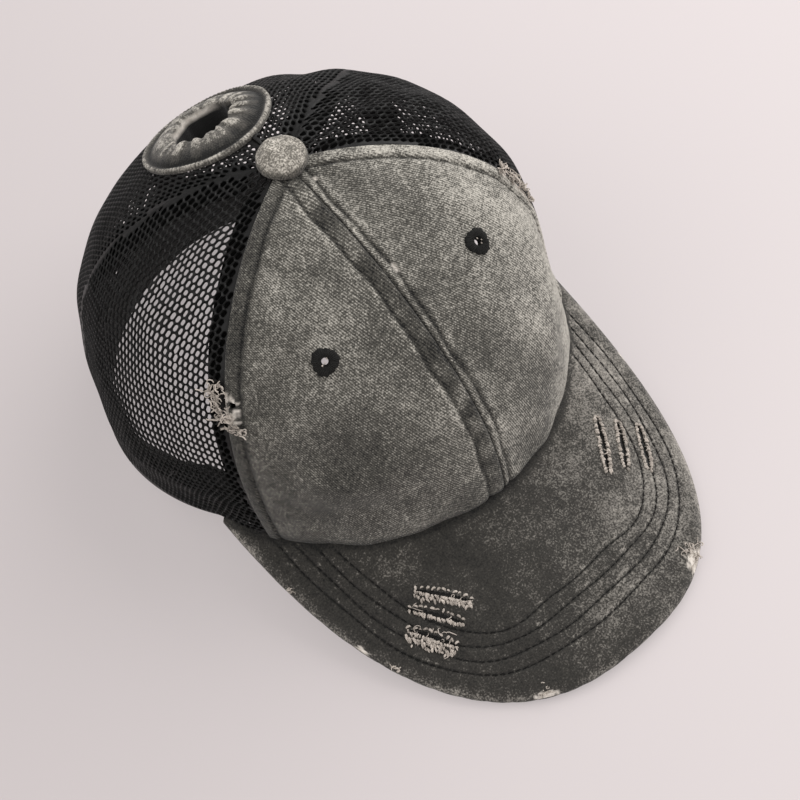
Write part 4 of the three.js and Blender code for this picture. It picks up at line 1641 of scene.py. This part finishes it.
    def build_top(self) -> bpy.types.Object:
        """Make the upper cloth, with its slits cut through.

        Returns:
            the dressed piece.
        """
        x, y = self.plan(self.rows, self.columns)
        edge, run = self.trace(x, y)
        outer = np.stack([x, y, self.top(x, y)], -1)
        inner = np.stack([x, y, FORM.visor_mid(x, y) + self.core(edge)], -1)
        middle_x = (x[:-1, :-1] + x[1:, 1:]) / 2
        middle_y = (y[:-1, :-1] + y[1:, 1:]) / 2
        keep = np.ones(middle_x.shape, bool)
        for slash in SLASHES:
            keep &= self.slit_gap(middle_x, middle_y, slash)[0] > 1
        cloth = shell(outer, inner, np.stack([x, y], -1) * MM, self.marks(x, y, edge, run), keep=keep)
        piece = cloth.build("visor_upper_cloth", Finish.VISOR.get())
        return dress(piece, "visor_cotton", "visor_top_cloth", flat=self.cut,
                     rests=("visor_board",))

    def build_under(self) -> bpy.types.Object:
        """Make the lower cloth.

        Returns:
            the dressed piece.
        """
        x, y = self.plan(self.under_rows, self.under_columns)
        edge, run = self.trace(x, y)
        core = FORM.visor_mid(x, y) - self.core(edge)
        rows = sum(bump(edge, self.row_depth(number, run), 0.8) for number in range(self.sewn))
        outer = np.stack([x, y, core], -1)
        soft = Ripples(47, 22, 0.12).at(x, y) + 0.28 * rows
        inner = np.stack([x, y, core - self.rounding(edge) + np.maximum(soft, 0) * smooth(edge / 2)], -1)
        marks = {"wear": 0.8 * bump(edge, 0.4, 1.1), "dye": 0.8 * rows}
        cloth = shell(outer, inner, np.stack([x, y], -1) * MM, marks)
        piece = cloth.build("visor_lower_cloth", Finish.UNDER.get())
        return dress(piece, "visor_cotton", "visor_under_cloth", flat=self.cut,
                     rests=("visor_board",))

    def row_line(self, number: int) -> np.ndarray:
        """Points of a stitch row in plan.

        Args:
            number: the row, from the edge.

        Returns:
            x and y in mm.
        """
        ahead = np.gradient(self.edge, axis=0)
        ahead = ahead / np.linalg.norm(ahead, axis=1, keepdims=True)
        depth = self.row_depth(number, self.run)[:, None]
        line = self.edge + np.stack([-ahead[:, 1], ahead[:, 0]], -1) * depth
        clear = self.crown_gap(line[:, 0], line[:, 1]) > 1.2
        return line[clear]

    def build_stitches(self) -> bpy.types.Object:
        """Sew the rows of dark stitches above and below.

        Returns:
            the dressed piece.
        """
        bundle = Bundle()
        draw = np.random.default_rng(50)
        for number in range(self.sewn):
            line = self.row_line(number)
            run = np.concatenate([[0], np.cumsum(np.linalg.norm(np.diff(line, axis=0), axis=1))])
            for begin in np.arange(1.0, run[-1] - self.stitch, self.stitch):
                ends = np.array([begin, begin + 0.76 * self.stitch]) + draw.normal(0, 0.08, 2)
                x = np.interp(ends, run, line[:, 0])
                y = np.interp(ends, run, line[:, 1])
                tone = 1.0 if draw.random() < 0.08 else draw.uniform(0.0, 0.35)
                z = self.top(x, y) + 0.1
                bundle.stitch(np.array([x[0], y[0], z[0]]), np.array([x[1], y[1], z[1]]),
                              np.array([0, 0, 1.0]), 0.21, 0.16, tone)
                under = 2 * FORM.visor_mid(x, y) - z
                bundle.stitch(np.array([x[0], y[0], under[0]]), np.array([x[1], y[1], under[1]]),
                              np.array([0, 0, -1.0]), 0.21, 0.16, 0.2)
        piece = bundle.cloth().build("visor_stitches", Finish.DARK_THREAD.get())
        return dress(piece, "thread")

    def build_slits(self) -> bpy.types.Object:
        """Lay the pale worn yarns along both sides of each slit.

        Returns:
            the dressed piece.
        """
        bundle = Bundle()
        draw = np.random.default_rng(51)
        for slash in SLASHES:
            near, far = np.array(slash.near), np.array(slash.far)
            length = float(np.linalg.norm(far - near))
            way = (far - near) / length
            across = np.array([-way[1], way[0]])
            outward = -1 if slash.near[0] < 0 else 1
            for side in (-1, 1):
                for band in range(slash.rows if side == outward else 1):
                    self.bead_row(bundle, draw, near, way, across * side, length, band)
            self.fray(bundle, draw, slash)
        piece = bundle.cloth().build("visor_slit_yarns", Finish.LIGHT_THREAD.get())
        return dress(piece, "thread")

    def bead_row(self, bundle: Bundle, draw: np.random.Generator, near: np.ndarray, way: np.ndarray,
                 across: np.ndarray, length: float, band: int) -> None:
        """Lay one bumpy band of worn yarn beside a slit.

        Args:
            bundle: where the yarns go.
            draw: its random source.
            near: the slit's end by the crown.
            way: the slit's direction.
            across: the way out from the slit.
            length: the slit's length in mm.
            band: how many bands lie between this one and the slit.
        """
        handed = 1 if across @ np.array([-way[1], way[0]]) > 0 else -1
        inner = near[0] < 0 and across[0] > 0
        gap = 1.9 if inner else 0.75
        for place in np.arange(0.0, 1.0, gap / length):
            bend = handed * self.bend * math.sin(math.pi * place)
            half = self.slit * math.sqrt(max(0.0, 4 * place * (1 - place)))
            out = bend + half + 0.55 + 1.15 * band + draw.normal(0, 0.1 + 0.25 * band)
            middle = near + way * (length * place + draw.normal(0, 0.25)) + across * out
            slant = (0.3 if inner else 1.1) + draw.normal(0, 0.45)
            reach = (way * math.cos(slant) + across * math.sin(slant)) * draw.uniform(0.3, 0.75)
            ends = np.stack([middle - reach, middle + reach])
            z = self.top(ends[:, 0], ends[:, 1]) + 0.15
            bundle.stitch(np.array([*ends[0], z[0]]), np.array([*ends[1], z[1]]),
                          np.array([0, 0, 1.0]), draw.uniform(0.3, 0.52), draw.uniform(0.25, 0.5),
                          draw.uniform(0.4, 1.0))

    def fray(self, bundle: Bundle, draw: np.random.Generator, slash: Slash) -> None:
        """Loose curls round a slit, many where it is worn most.

        Args:
            bundle: takes the curls.
            draw: the random draws.
            slash: the slit.
        """
        near, far = np.array(slash.near), np.array(slash.far)
        count = int(1 + 20 * slash.curl)
        for _ in range(count):
            place = draw.uniform(0, 1)
            out = draw.uniform(-1, 1.5) * (1 + 2.4 * (slash.curl > 0.5))
            way = (far - near) / np.linalg.norm(far - near)
            across = np.array([-way[1], way[0]]) * (-1 if slash.near[0] < 0 else 1)
            start = near + (far - near) * place + across * out
            height = float(self.top(start[:1], start[1:])[0])
            origin = np.array([start[0], start[1], height + 0.3])
            curl(bundle, draw, origin, np.array([0, 0, 1.0]), draw.uniform(2, 5), 0.17)


def curl(bundle: Bundle, draw: np.random.Generator, origin: np.ndarray, normal: np.ndarray,
         length: float, radius: float) -> None:
    """Add a loose curled yarn lying near the cloth.

    Args:
        bundle: where it goes.
        draw: its random source.
        origin: where it starts, in mm.
        normal: the cloth's outward direction.
        length: its length in mm.
        radius: its radius in mm.
    """
    normal = np.asarray(normal, float) / np.linalg.norm(normal)
    side = np.cross(normal, draw.normal(size=3))
    side = side / np.linalg.norm(side)
    other = np.cross(normal, side)
    steps = 9
    heading = 0.0
    turn = draw.normal(0, 0.36)
    place = np.array(origin, float).reshape(3)
    path = []
    for step in range(steps):
        path.append(place.copy())
        heading += turn + draw.normal(0, 0.25)
        rise = 0.5 * math.sin(step / 2 + turn * 3) * length / steps
        move = side * math.cos(heading) + other * math.sin(heading)
        place = place + move * length / steps + normal * rise
    bundle.thread(np.array(path), radius, draw.uniform(0.35, 1.0), 5)


@dataclass
class PonytailRing:
    """The gathered cotton ring round the ponytail hole, with its ribbed outer welt."""

    angle: float = -174.5
    share: float = 0.731
    radius: float = 25.0
    hole: float = 12.4
    welt: float = 1.9
    around: int = 300
    across: int = 50
    gathers: int = 15
    turned: float = 0.72
    puff: float = 1.9
    depth: float = 8.5
    wall: float = 0.9
    seat: float = 0.7
    welt_rise: float = 0.95
    valley: float = 1.2
    flare: float = 1.2
    squash: float = 2.0
    # The far side's direction; a painted light band lies on the hole's far wall there.
    pale_turn: float = 270.0
    cut: tuple[float, float] = (0.018, 0.15)

    def pleat(self, turn: np.ndarray) -> np.ndarray:
        """The gathers' uneven ridges round the ring, about -1 to 1.

        Args:
            turn: radians round the ring.

        Returns:
            the ridges' heights.
        """
        draw = np.random.default_rng(61)
        total = np.zeros(turn.shape)
        for _ in range(7):
            count = self.gathers + int(draw.integers(-8, 9))
            total = total + draw.uniform(0.4, 1.0) * np.sin(count * turn + draw.uniform(0, 6.28))
        return np.tanh(total / 1.6)

    def scallop(self, turn: np.ndarray) -> np.ndarray:
        """The hole's uneven edge in mm."""
        broad = 0.9 * np.sin(9 * turn + 0.7) * np.sin(2 * turn)
        return broad + 0.7 * np.sin(7 * turn) + 0.35 * np.sin(15 * turn)

    def build(self) -> bpy.types.Object:
        """Make the ring.

        Returns:
            the dressed piece.
        """
        place = Patch(math.radians(self.angle), self.share)
        turn = np.linspace(0, 2 * math.pi, self.around, endpoint=False)[None, :]
        step = np.linspace(0, 1, self.across)[:, None]
        away = smooth(0.5 + 0.9 * np.cos(turn - math.radians(self.pale_turn)))
        edge = self.hole + self.scallop(turn) * (1 - 0.8 * away)
        edge = edge - self.squash * np.sin(turn - 0.1) ** 2
        held = np.minimum(step / self.turned, 1.0)
        deep = np.clip((step - self.turned) / (1 - self.turned), 0, 1)
        radius = self.radius + (edge - self.radius) * held + self.flare * smooth(deep)
        inward = (self.radius - self.hole) * held
        pleat = self.pleat(turn + 0.05 * np.sin(5 * turn))
        rolled = np.sqrt(np.maximum(0.0, 1 - ((inward - self.welt / 2) / (self.welt / 2)) ** 2))
        ribs = np.sin(self.around / 3.1 * turn + 0.8 * np.sin(9 * turn))
        height = self.seat + rolled * (self.welt_rise + 0.12 * ribs)
        start = self.welt + self.valley
        past = np.clip((inward - start) / (self.radius - self.hole - start), 0, 1)
        swell = self.puff * (1 + 0.18 * np.sin(3 * turn + 0.4) + 0.1 * np.sin(7 * turn))
        puff = np.sin(math.pi / 2 * np.clip(past / 0.8, 0, 1)) ** 0.9
        lip = np.clip((past - 0.8) / 0.2, 0, 1)
        height = height + swell * puff * (1 - 0.35 * lip ** 2)
        pleat = pleat * (1 - 0.7 * away) * (1 - 0.9 * smooth(deep / 0.3))
        height = height + pleat * 0.6 * smooth(past / 0.75) ** 1.5
        height = height - 0.35 * bump(inward, self.welt + 0.9, 0.9)
        height = height - (self.depth + 0.65 * self.puff) * deep
        outer = place.lay(radius * np.cos(turn), radius * np.sin(turn), height)
        under = height - self.wall
        behind = radius + 1.0 * smooth(lip) + 0 * turn
        inner = place.lay(behind * np.cos(turn), behind * np.sin(turn), under)
        uv = np.stack([turn * 20 + 0 * radius, inward + 9 * deep + 0 * radius], -1) * MM
        ridge = smooth(0.5 + 0.8 * pleat)
        # Rubbed light on the welt's ribs and the gathers' ridges; on the ridges it is partly a painted
        # highlight.
        wear = (0.8 + 0.2 * ribs) * rolled + (0.55 + 0.65 * ridge) * smooth((past - 0.25 + 0.25 * away) / 0.4)
        wear = wear * (1 - smooth(deep / 0.12))
        dye = 0.9 * bump(inward, self.welt + 0.9, 1.5) + 0.5 * (1 - ridge) * smooth(past / 0.2)
        plain = smooth((0.6 - past) / 0.45) * smooth((inward - self.welt) / 0.5)
        dye = dye + (0.5 - 0.4 * away) * plain
        # Painted shade: the wall deep inside the hole is darkened.
        dye = dye + 2.2 * smooth((deep - 0.1) / 0.3)
        # Painted light band: a pale crescent on the hole's far wall stands in for the bright light seen
        # there.
        far = smooth((np.cos(turn - math.radians(self.pale_turn)) - 0.35) / 0.5)
        pale = far * smooth((deep - 0.02) / 0.06) * smooth((0.3 - deep) / 0.06)
        marks = {"wear": np.clip(wear, 0, 1), "dye": np.clip(dye * (1 - pale), 0, 2.5),
                 "bare": np.clip(pale, 0, 1)}
        piece = shell(outer, inner, uv, marks, loops=True).build("ring_gathered_cloth", Finish.RING.get())
        return dress(piece, "washed_cotton", "ponytail_ring", flat=self.cut, held="gathered",
                     rests=("net_gore_back_left", "net_gore_back_right"))


@dataclass
class CoveredButton:
    """The button at the top, a disc under stretched cotton."""

    radius: float = 9.0
    rise: float = 5.6
    power: float = 2.5
    around: int = 120
    across: int = 34
    seat: float = 1.0

    def build(self) -> bpy.types.Object:
        """Make the dome, and its underside tucked over the crown.

        Returns:
            the dressed piece.
        """
        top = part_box("top_button")[1][2] / MM
        turn = np.linspace(0, 2 * math.pi, self.around, endpoint=False)[None, :]
        step = np.linspace(1, 0, self.across)[:, None]
        share = np.sin(step * math.pi / 2)
        radius = self.radius * share
        drop = self.rise * (1 - (1 - np.minimum(share, 1) ** self.power) ** (1 / self.power))
        x, y = radius * np.sin(turn), radius * np.cos(turn)
        lump = Ripples(71, 7, 0.22).at(x, y) * smooth((1 - share) / 0.2)
        facet = 0.12 * np.cos(8 * turn + 0.6) * smooth((share - 0.55) / 0.4) * (share < 0.995)
        outer = np.stack([x, FORM.apex_setback - y, top - drop + lump + facet], -1)
        heading = np.arctan2(x, y)
        crown = self.crown_height(heading, radius)
        tucked = 0.93 * radius
        foot = np.stack([tucked * np.sin(turn), FORM.apex_setback - tucked * np.cos(turn),
                         np.minimum(crown + self.seat, outer[..., 2] - 0.4)], -1)
        uv = np.stack([x, y], -1) * MM
        wear = np.clip(0.35 + 0.4 * Ripples(72, 6, 1.0).at(x, y), 0, 1) * smooth((1 - share) / 0.1)
        marks = {"wear": wear, "dye": 0.8 * smooth((share - 0.93) / 0.07) + 0 * x}
        piece = shell(outer, foot, uv, marks, loops=True).build("button_cover", Finish.BUTTON.get())
        weld(piece)
        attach(piece, BODY)
        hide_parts("top_button")
        log.info("%s: %d faces", piece.name, len(piece.data.polygons))
        return piece

    def crown_height(self, heading: np.ndarray, radius: np.ndarray) -> np.ndarray:
        """The crown's height under the button."""
        held = np.clip(radius, FORM.top_hole, None)
        turn = np.minimum(1.0, held / FORM.rim_reach(heading))
        share = np.arccos(turn ** (FORM.value(heading, "plan") / 2)) / (math.pi / 2)
        return FORM.point(heading, share, np.zeros(1))[..., 2]


def weld(piece: bpy.types.Object) -> None:
    """Close a pole by merging the points that meet in it.

    Args:
        piece: the piece, changed in place.
    """
    bpy.ops.object.select_all(action="DESELECT")
    piece.select_set(True)
    bpy.context.view_layer.objects.active = piece
    bpy.ops.object.mode_set(mode="EDIT")
    bpy.ops.mesh.select_all(action="SELECT")
    bpy.ops.mesh.remove_doubles(threshold=2e-6)
    bpy.ops.object.mode_set(mode="OBJECT")


@dataclass
class SewnEyelet:
    """An eyelet: a ring of tight radial stitches round an open hole."""

    side: Side
    angle: float = 31.7
    share: float = 0.488
    radius: float = 4.5
    hole: float = 1.2
    raised: float = 0.75
    stitches: int = 34
    around: int = 204
    across: int = 16

    def build(self) -> bpy.types.Object:
        """Make the ring of stitches.

        Returns:
            the dressed piece.
        """
        place = Patch(math.radians(self.side.value * self.angle), self.share)
        turn = np.linspace(0, 2 * math.pi, self.around, endpoint=False)[None, :]
        step = np.linspace(0, 1, self.across)[:, None]
        thread = np.abs(np.sin(self.stitches * turn / 2 + 0.4 * np.sin(5 * turn)))
        uneven = 0.3 * np.sin(3 * turn + 1.0) + 0.16 * np.sin(11 * turn) + 0.12 * np.sin(19 * turn)
        outside = self.radius + uneven + 0.22 * thread
        radius = outside + (self.hole - outside) * step
        height = self.raised * np.sin(math.pi * (0.06 + 0.86 * step)) ** 0.75
        height = height + 0.2 * thread * np.sin(math.pi * step) - 1.3 * smooth((step - 0.85) / 0.15)
        outer = place.lay(radius * np.cos(turn), radius * np.sin(turn), height + 0.1)
        inner = place.lay(radius * np.cos(turn), radius * np.sin(turn),
                          np.minimum(height - 0.5, -0.1 - 1.4 * step))
        uv = np.stack([turn * 4 + 0 * radius, radius], -1) * MM
        marks = {"tone": 0.25 + 0.4 * thread * np.sin(math.pi * step)}
        piece = shell(outer, inner, uv, marks, loops=True)
        piece = piece.build(f"eyelet_stitching_{self.side.word}", Finish.DARK_THREAD.get(), 40.0)
        return dress(piece, "thread", f"eyelet_{self.side.word}")


@dataclass(frozen=True)
class Tuft:
    """A worn spot: where it is on the crown, its size in mm, and its yarns."""

    angle: float
    share: float
    across: float
    up: float
    yarns: int
    seed: int
    reach: tuple[float, float] = (1.5, 4.4)


@dataclass
class WornSpots:
    """Loose yarns on the side seams and round the visor's edge."""

    tufts: tuple[Tuft, ...] = (
        Tuft(-62.0, 0.392, 3.0, 3.0, 26, 81), Tuft(-60.4, 0.37, 2.4, 3.5, 24, 82),
        Tuft(-58.6, 0.335, 3.0, 3.0, 30, 83), Tuft(-56.0, 0.31, 3.0, 2.6, 20, 86),
        Tuft(58.6, 0.415, 1.8, 2.6, 26, 84), Tuft(57.9, 0.37, 1.8, 3.0, 24, 89),
        Tuft(57.2, 0.33, 1.5, 3.0, 18, 85), Tuft(56.6, 0.29, 1.2, 3.0, 12, 90),
        Tuft(31.7, 0.488, 2.2, 2.8, 3, 87, (0.5, 0.9)), Tuft(-31.7, 0.488, 2.2, 2.8, 3, 88, (0.5, 0.9)))
    edges: tuple[tuple[float, float, float, int], ...] = (
        (37.4, -153.0, 4.0, 46), (-36.7, -154.3, 2.2, 18), (-69.2, -114.2, 1.8, 12),
        (-77.9, -69.5, 1.6, 10))

    def build(self, visor: Visor) -> bpy.types.Object:
        """Lay every worn spot's yarns as one piece.

        Args:
            visor: the visor that the spots lie on.

        Returns:
            the dressed piece.
        """
        bundle = Bundle()
        for tuft in self.tufts:
            draw = np.random.default_rng(tuft.seed)
            place = Patch(math.radians(tuft.angle), tuft.share)
            for _ in range(tuft.yarns):
                a, b = draw.normal(0, tuft.across / 2), draw.normal(0, tuft.up / 2)
                origin = place.lay(np.array(a), np.array(b), np.array(draw.uniform(1.1, 2.5)))
                curl(bundle, draw, origin, place.normal, draw.uniform(*tuft.reach), draw.uniform(0.18, 0.3))
        draw = np.random.default_rng(94)
        for x, y, size, count in self.edges:
            middle = np.array([x, y])
            inward = -middle + np.array([0.0, -60.0])
            inward = inward / np.linalg.norm(inward)
            for _ in range(count):
                spot = middle + draw.normal(0, size / 2, 2)
                spot = visor.on_cloth(spot, inward)
                z = float(visor.top(spot[:1], spot[1:])[0])
                curl(bundle, draw, np.array([spot[0], spot[1], z + 0.2]), np.array([0, 0, 1.0]),
                     draw.uniform(1.2, 3.4), draw.uniform(0.16, 0.28))
        piece = bundle.cloth().build("worn_yarns", Finish.LIGHT_THREAD.get())
        return dress(piece, "thread")


@dataclass(frozen=True)
class Lamp:
    """A square soft light: its place and size in metres, and its power in watts."""

    name: str
    place: tuple[float, float, float]
    size: float
    power: float


@dataclass
class Studio:
    """The floor, the light and the camera."""

    turn: float = -34.40
    tilt: float = 54.51
    roll: float = -9.31
    distance: float = 0.7451
    target: tuple[float, float, float] = (0.0, 0.001593, 0.0512)
    lens: float = 94.44
    shift: tuple[float, float] = (0.02695, -0.0642)
    floor_tone: tuple[int, int, int] = (145, 139, 139)
    floor_glow: tuple[float, float] = (0.27, 0.5)
    glow_reach: float = 0.36
    glow_way: tuple[float, float, float] = (0.93, -0.36, 0.0)
    lamps: tuple[Lamp, ...] = (Lamp("key", (1.9, -0.05, 1.5), 3.2, 68.0),
                               Lamp("fill", (-1.9, 0.5, 1.7), 3.0, 30.0))
    lamp_tint: tuple[float, float, float] = (1.0, 0.985, 0.975)
    surround: tuple[float, float, float, float] = (1.0, 0.975, 0.97, 1.0)
    surround_strength: float = 0.66

    def camera(self) -> None:
        """Place the camera at the photograph's angle."""
        turn, tilt, roll = (math.radians(v) for v in (self.turn, self.tilt, self.roll))
        back = np.array([math.sin(turn) * math.cos(tilt), -math.cos(turn) * math.cos(tilt), math.sin(tilt)])
        level = np.array([math.cos(turn), math.sin(turn), 0.0])
        up = np.cross(back, level)
        right = level * math.cos(roll) + up * math.sin(roll)
        up = -level * math.sin(roll) + up * math.cos(roll)
        place = np.array(self.target) + back * self.distance
        lens = bpy.data.cameras.new("camera")
        lens.lens = self.lens
        lens.sensor_width = 36.0
        lens.shift_x, lens.shift_y = self.shift
        lens.clip_start = 0.01
        view = bpy.data.objects.new("camera", lens)
        rows = [[*column, at] for column, at in zip(np.stack([right, up, back], -1).tolist(), place)]
        view.matrix_world = Matrix([*rows, [0, 0, 0, 1]])
        bpy.context.scene.collection.objects.link(view)
        bpy.context.scene.camera = view

    def light(self) -> None:
        """One large soft light from the right, a weak fill, and a pale surround."""
        for lamp in self.lamps:
            light = bpy.data.lights.new(lamp.name, "AREA")
            light.shape = "SQUARE"
            light.size = lamp.size
            light.energy = lamp.power
            light.color = self.lamp_tint
            holder = bpy.data.objects.new(lamp.name, light)
            ahead = -np.array(lamp.place) / np.linalg.norm(lamp.place)
            side = np.cross(ahead, [0, 0, 1.0])
            side = side / np.linalg.norm(side)
            up = np.cross(side, ahead)
            rows = [[*row, at] for row, at in zip(np.stack([side, up, -ahead], -1).tolist(), lamp.place)]
            holder.matrix_world = Matrix([*rows, [0, 0, 0, 1]])
            bpy.context.scene.collection.objects.link(holder)
        world = bpy.data.worlds.new("surround")
        world.use_nodes = True
        world.node_tree.nodes["Background"].inputs[0].default_value = self.surround
        world.node_tree.nodes["Background"].inputs[1].default_value = self.surround_strength
        bpy.context.scene.world = world
        bpy.context.scene.view_settings.view_transform = "Standard"

    def floor(self) -> None:
        """Lay the plain pale floor, lit a little from below and more at the right."""
        bpy.ops.object.select_all(action="DESELECT")
        bpy.ops.mesh.primitive_plane_add(size=12.0, location=(0, 0, -0.0004))
        ground = bpy.context.active_object
        ground.name = "floor"
        material, wiring, shader = fresh("Pale floor")
        place = wiring.node("ShaderNodeTexCoord").outputs["Object"]
        across = wiring.node("ShaderNodeVectorMath", {"operation": "DOT_PRODUCT"}, {0: place})
        across.inputs[1].default_value = self.glow_way
        share = wiring.node("ShaderNodeMapRange", {"interpolation_type": "SMOOTHSTEP"},
                            {"Value": across.outputs["Value"], "From Min": -self.glow_reach,
                             "From Max": self.glow_reach}).outputs["Result"]
        glow = [(level, 0.925 * level, 0.925 * level, 1.0) for level in self.floor_glow]
        colour = wiring.ramp(share, ((0.0, glow[0]), (1.0, glow[1])))
        wiring.feed(shader.inputs["Emission Color"], colour)
        shader.inputs["Emission Strength"].default_value = 1.0
        shader.inputs["Base Color"].default_value = paint(*self.floor_tone)
        shader.inputs["Roughness"].default_value = 0.9
        shader.inputs["Specular IOR Level"].default_value = 0.1
        ground.data.materials.append(material)
        ground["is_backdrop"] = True


def net_gores() -> list[NetGore]:
    """The four gores of net, side and back on each side.

    Returns:
        the gores, ready to build.
    """
    gores = []
    for side in Side:
        seam, back, middle = (side.value * angle for angle in (FORM.side_seam_rim, FORM.back_seam, 180.0))
        gores.append(NetGore(f"net_gore_side_{side.word}", f"net_side_{side.word}", seam, back,
                             (0.112, 0.176)))
        gores.append(NetGore(f"net_gore_back_{side.word}", f"net_back_{side.word}", back, middle,
                             (0.096, 0.176), hole_across=0.72, hole_along=1.1))
    return gores


def seam_tapes() -> list[SeamTape]:
    """The tapes behind the side seams, the back seams and the middle seam."""
    tapes = []
    for word, angle in (("side", FORM.side_seam_rim), ("back", FORM.back_seam)):
        tapes += [SeamTape(f"seam_tape_{word}_{side.word}", side.value * angle) for side in Side]
    return tapes + [SeamTape("seam_tape_centre", 180.0, to_share=0.47)]


def main() -> None:
    """Build the cap's classes in order, and report each piece."""
    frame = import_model()
    PLACE.read()
    studio = Studio()
    studio.camera()
    studio.light()
    studio.floor()
    for side in Side:
        FrontPanel(side).build()
        SewnEyelet(side).build()
    for gore in net_gores():
        gore.build()
    for tape in seam_tapes():
        tape.build()
    Sweatband().build()
    visor = Visor()
    visor.build_top()
    visor.build_under()
    visor.build_stitches()
    visor.build_slits()
    PonytailRing().build()
    CoveredButton().build()
    WornSpots().build(visor)
    board = frame["nodes"]["visor_board"]
    board.data.materials.clear()
    board.data.materials.append(Finish.BOARD.get())


if __name__ == "__main__":
    main()
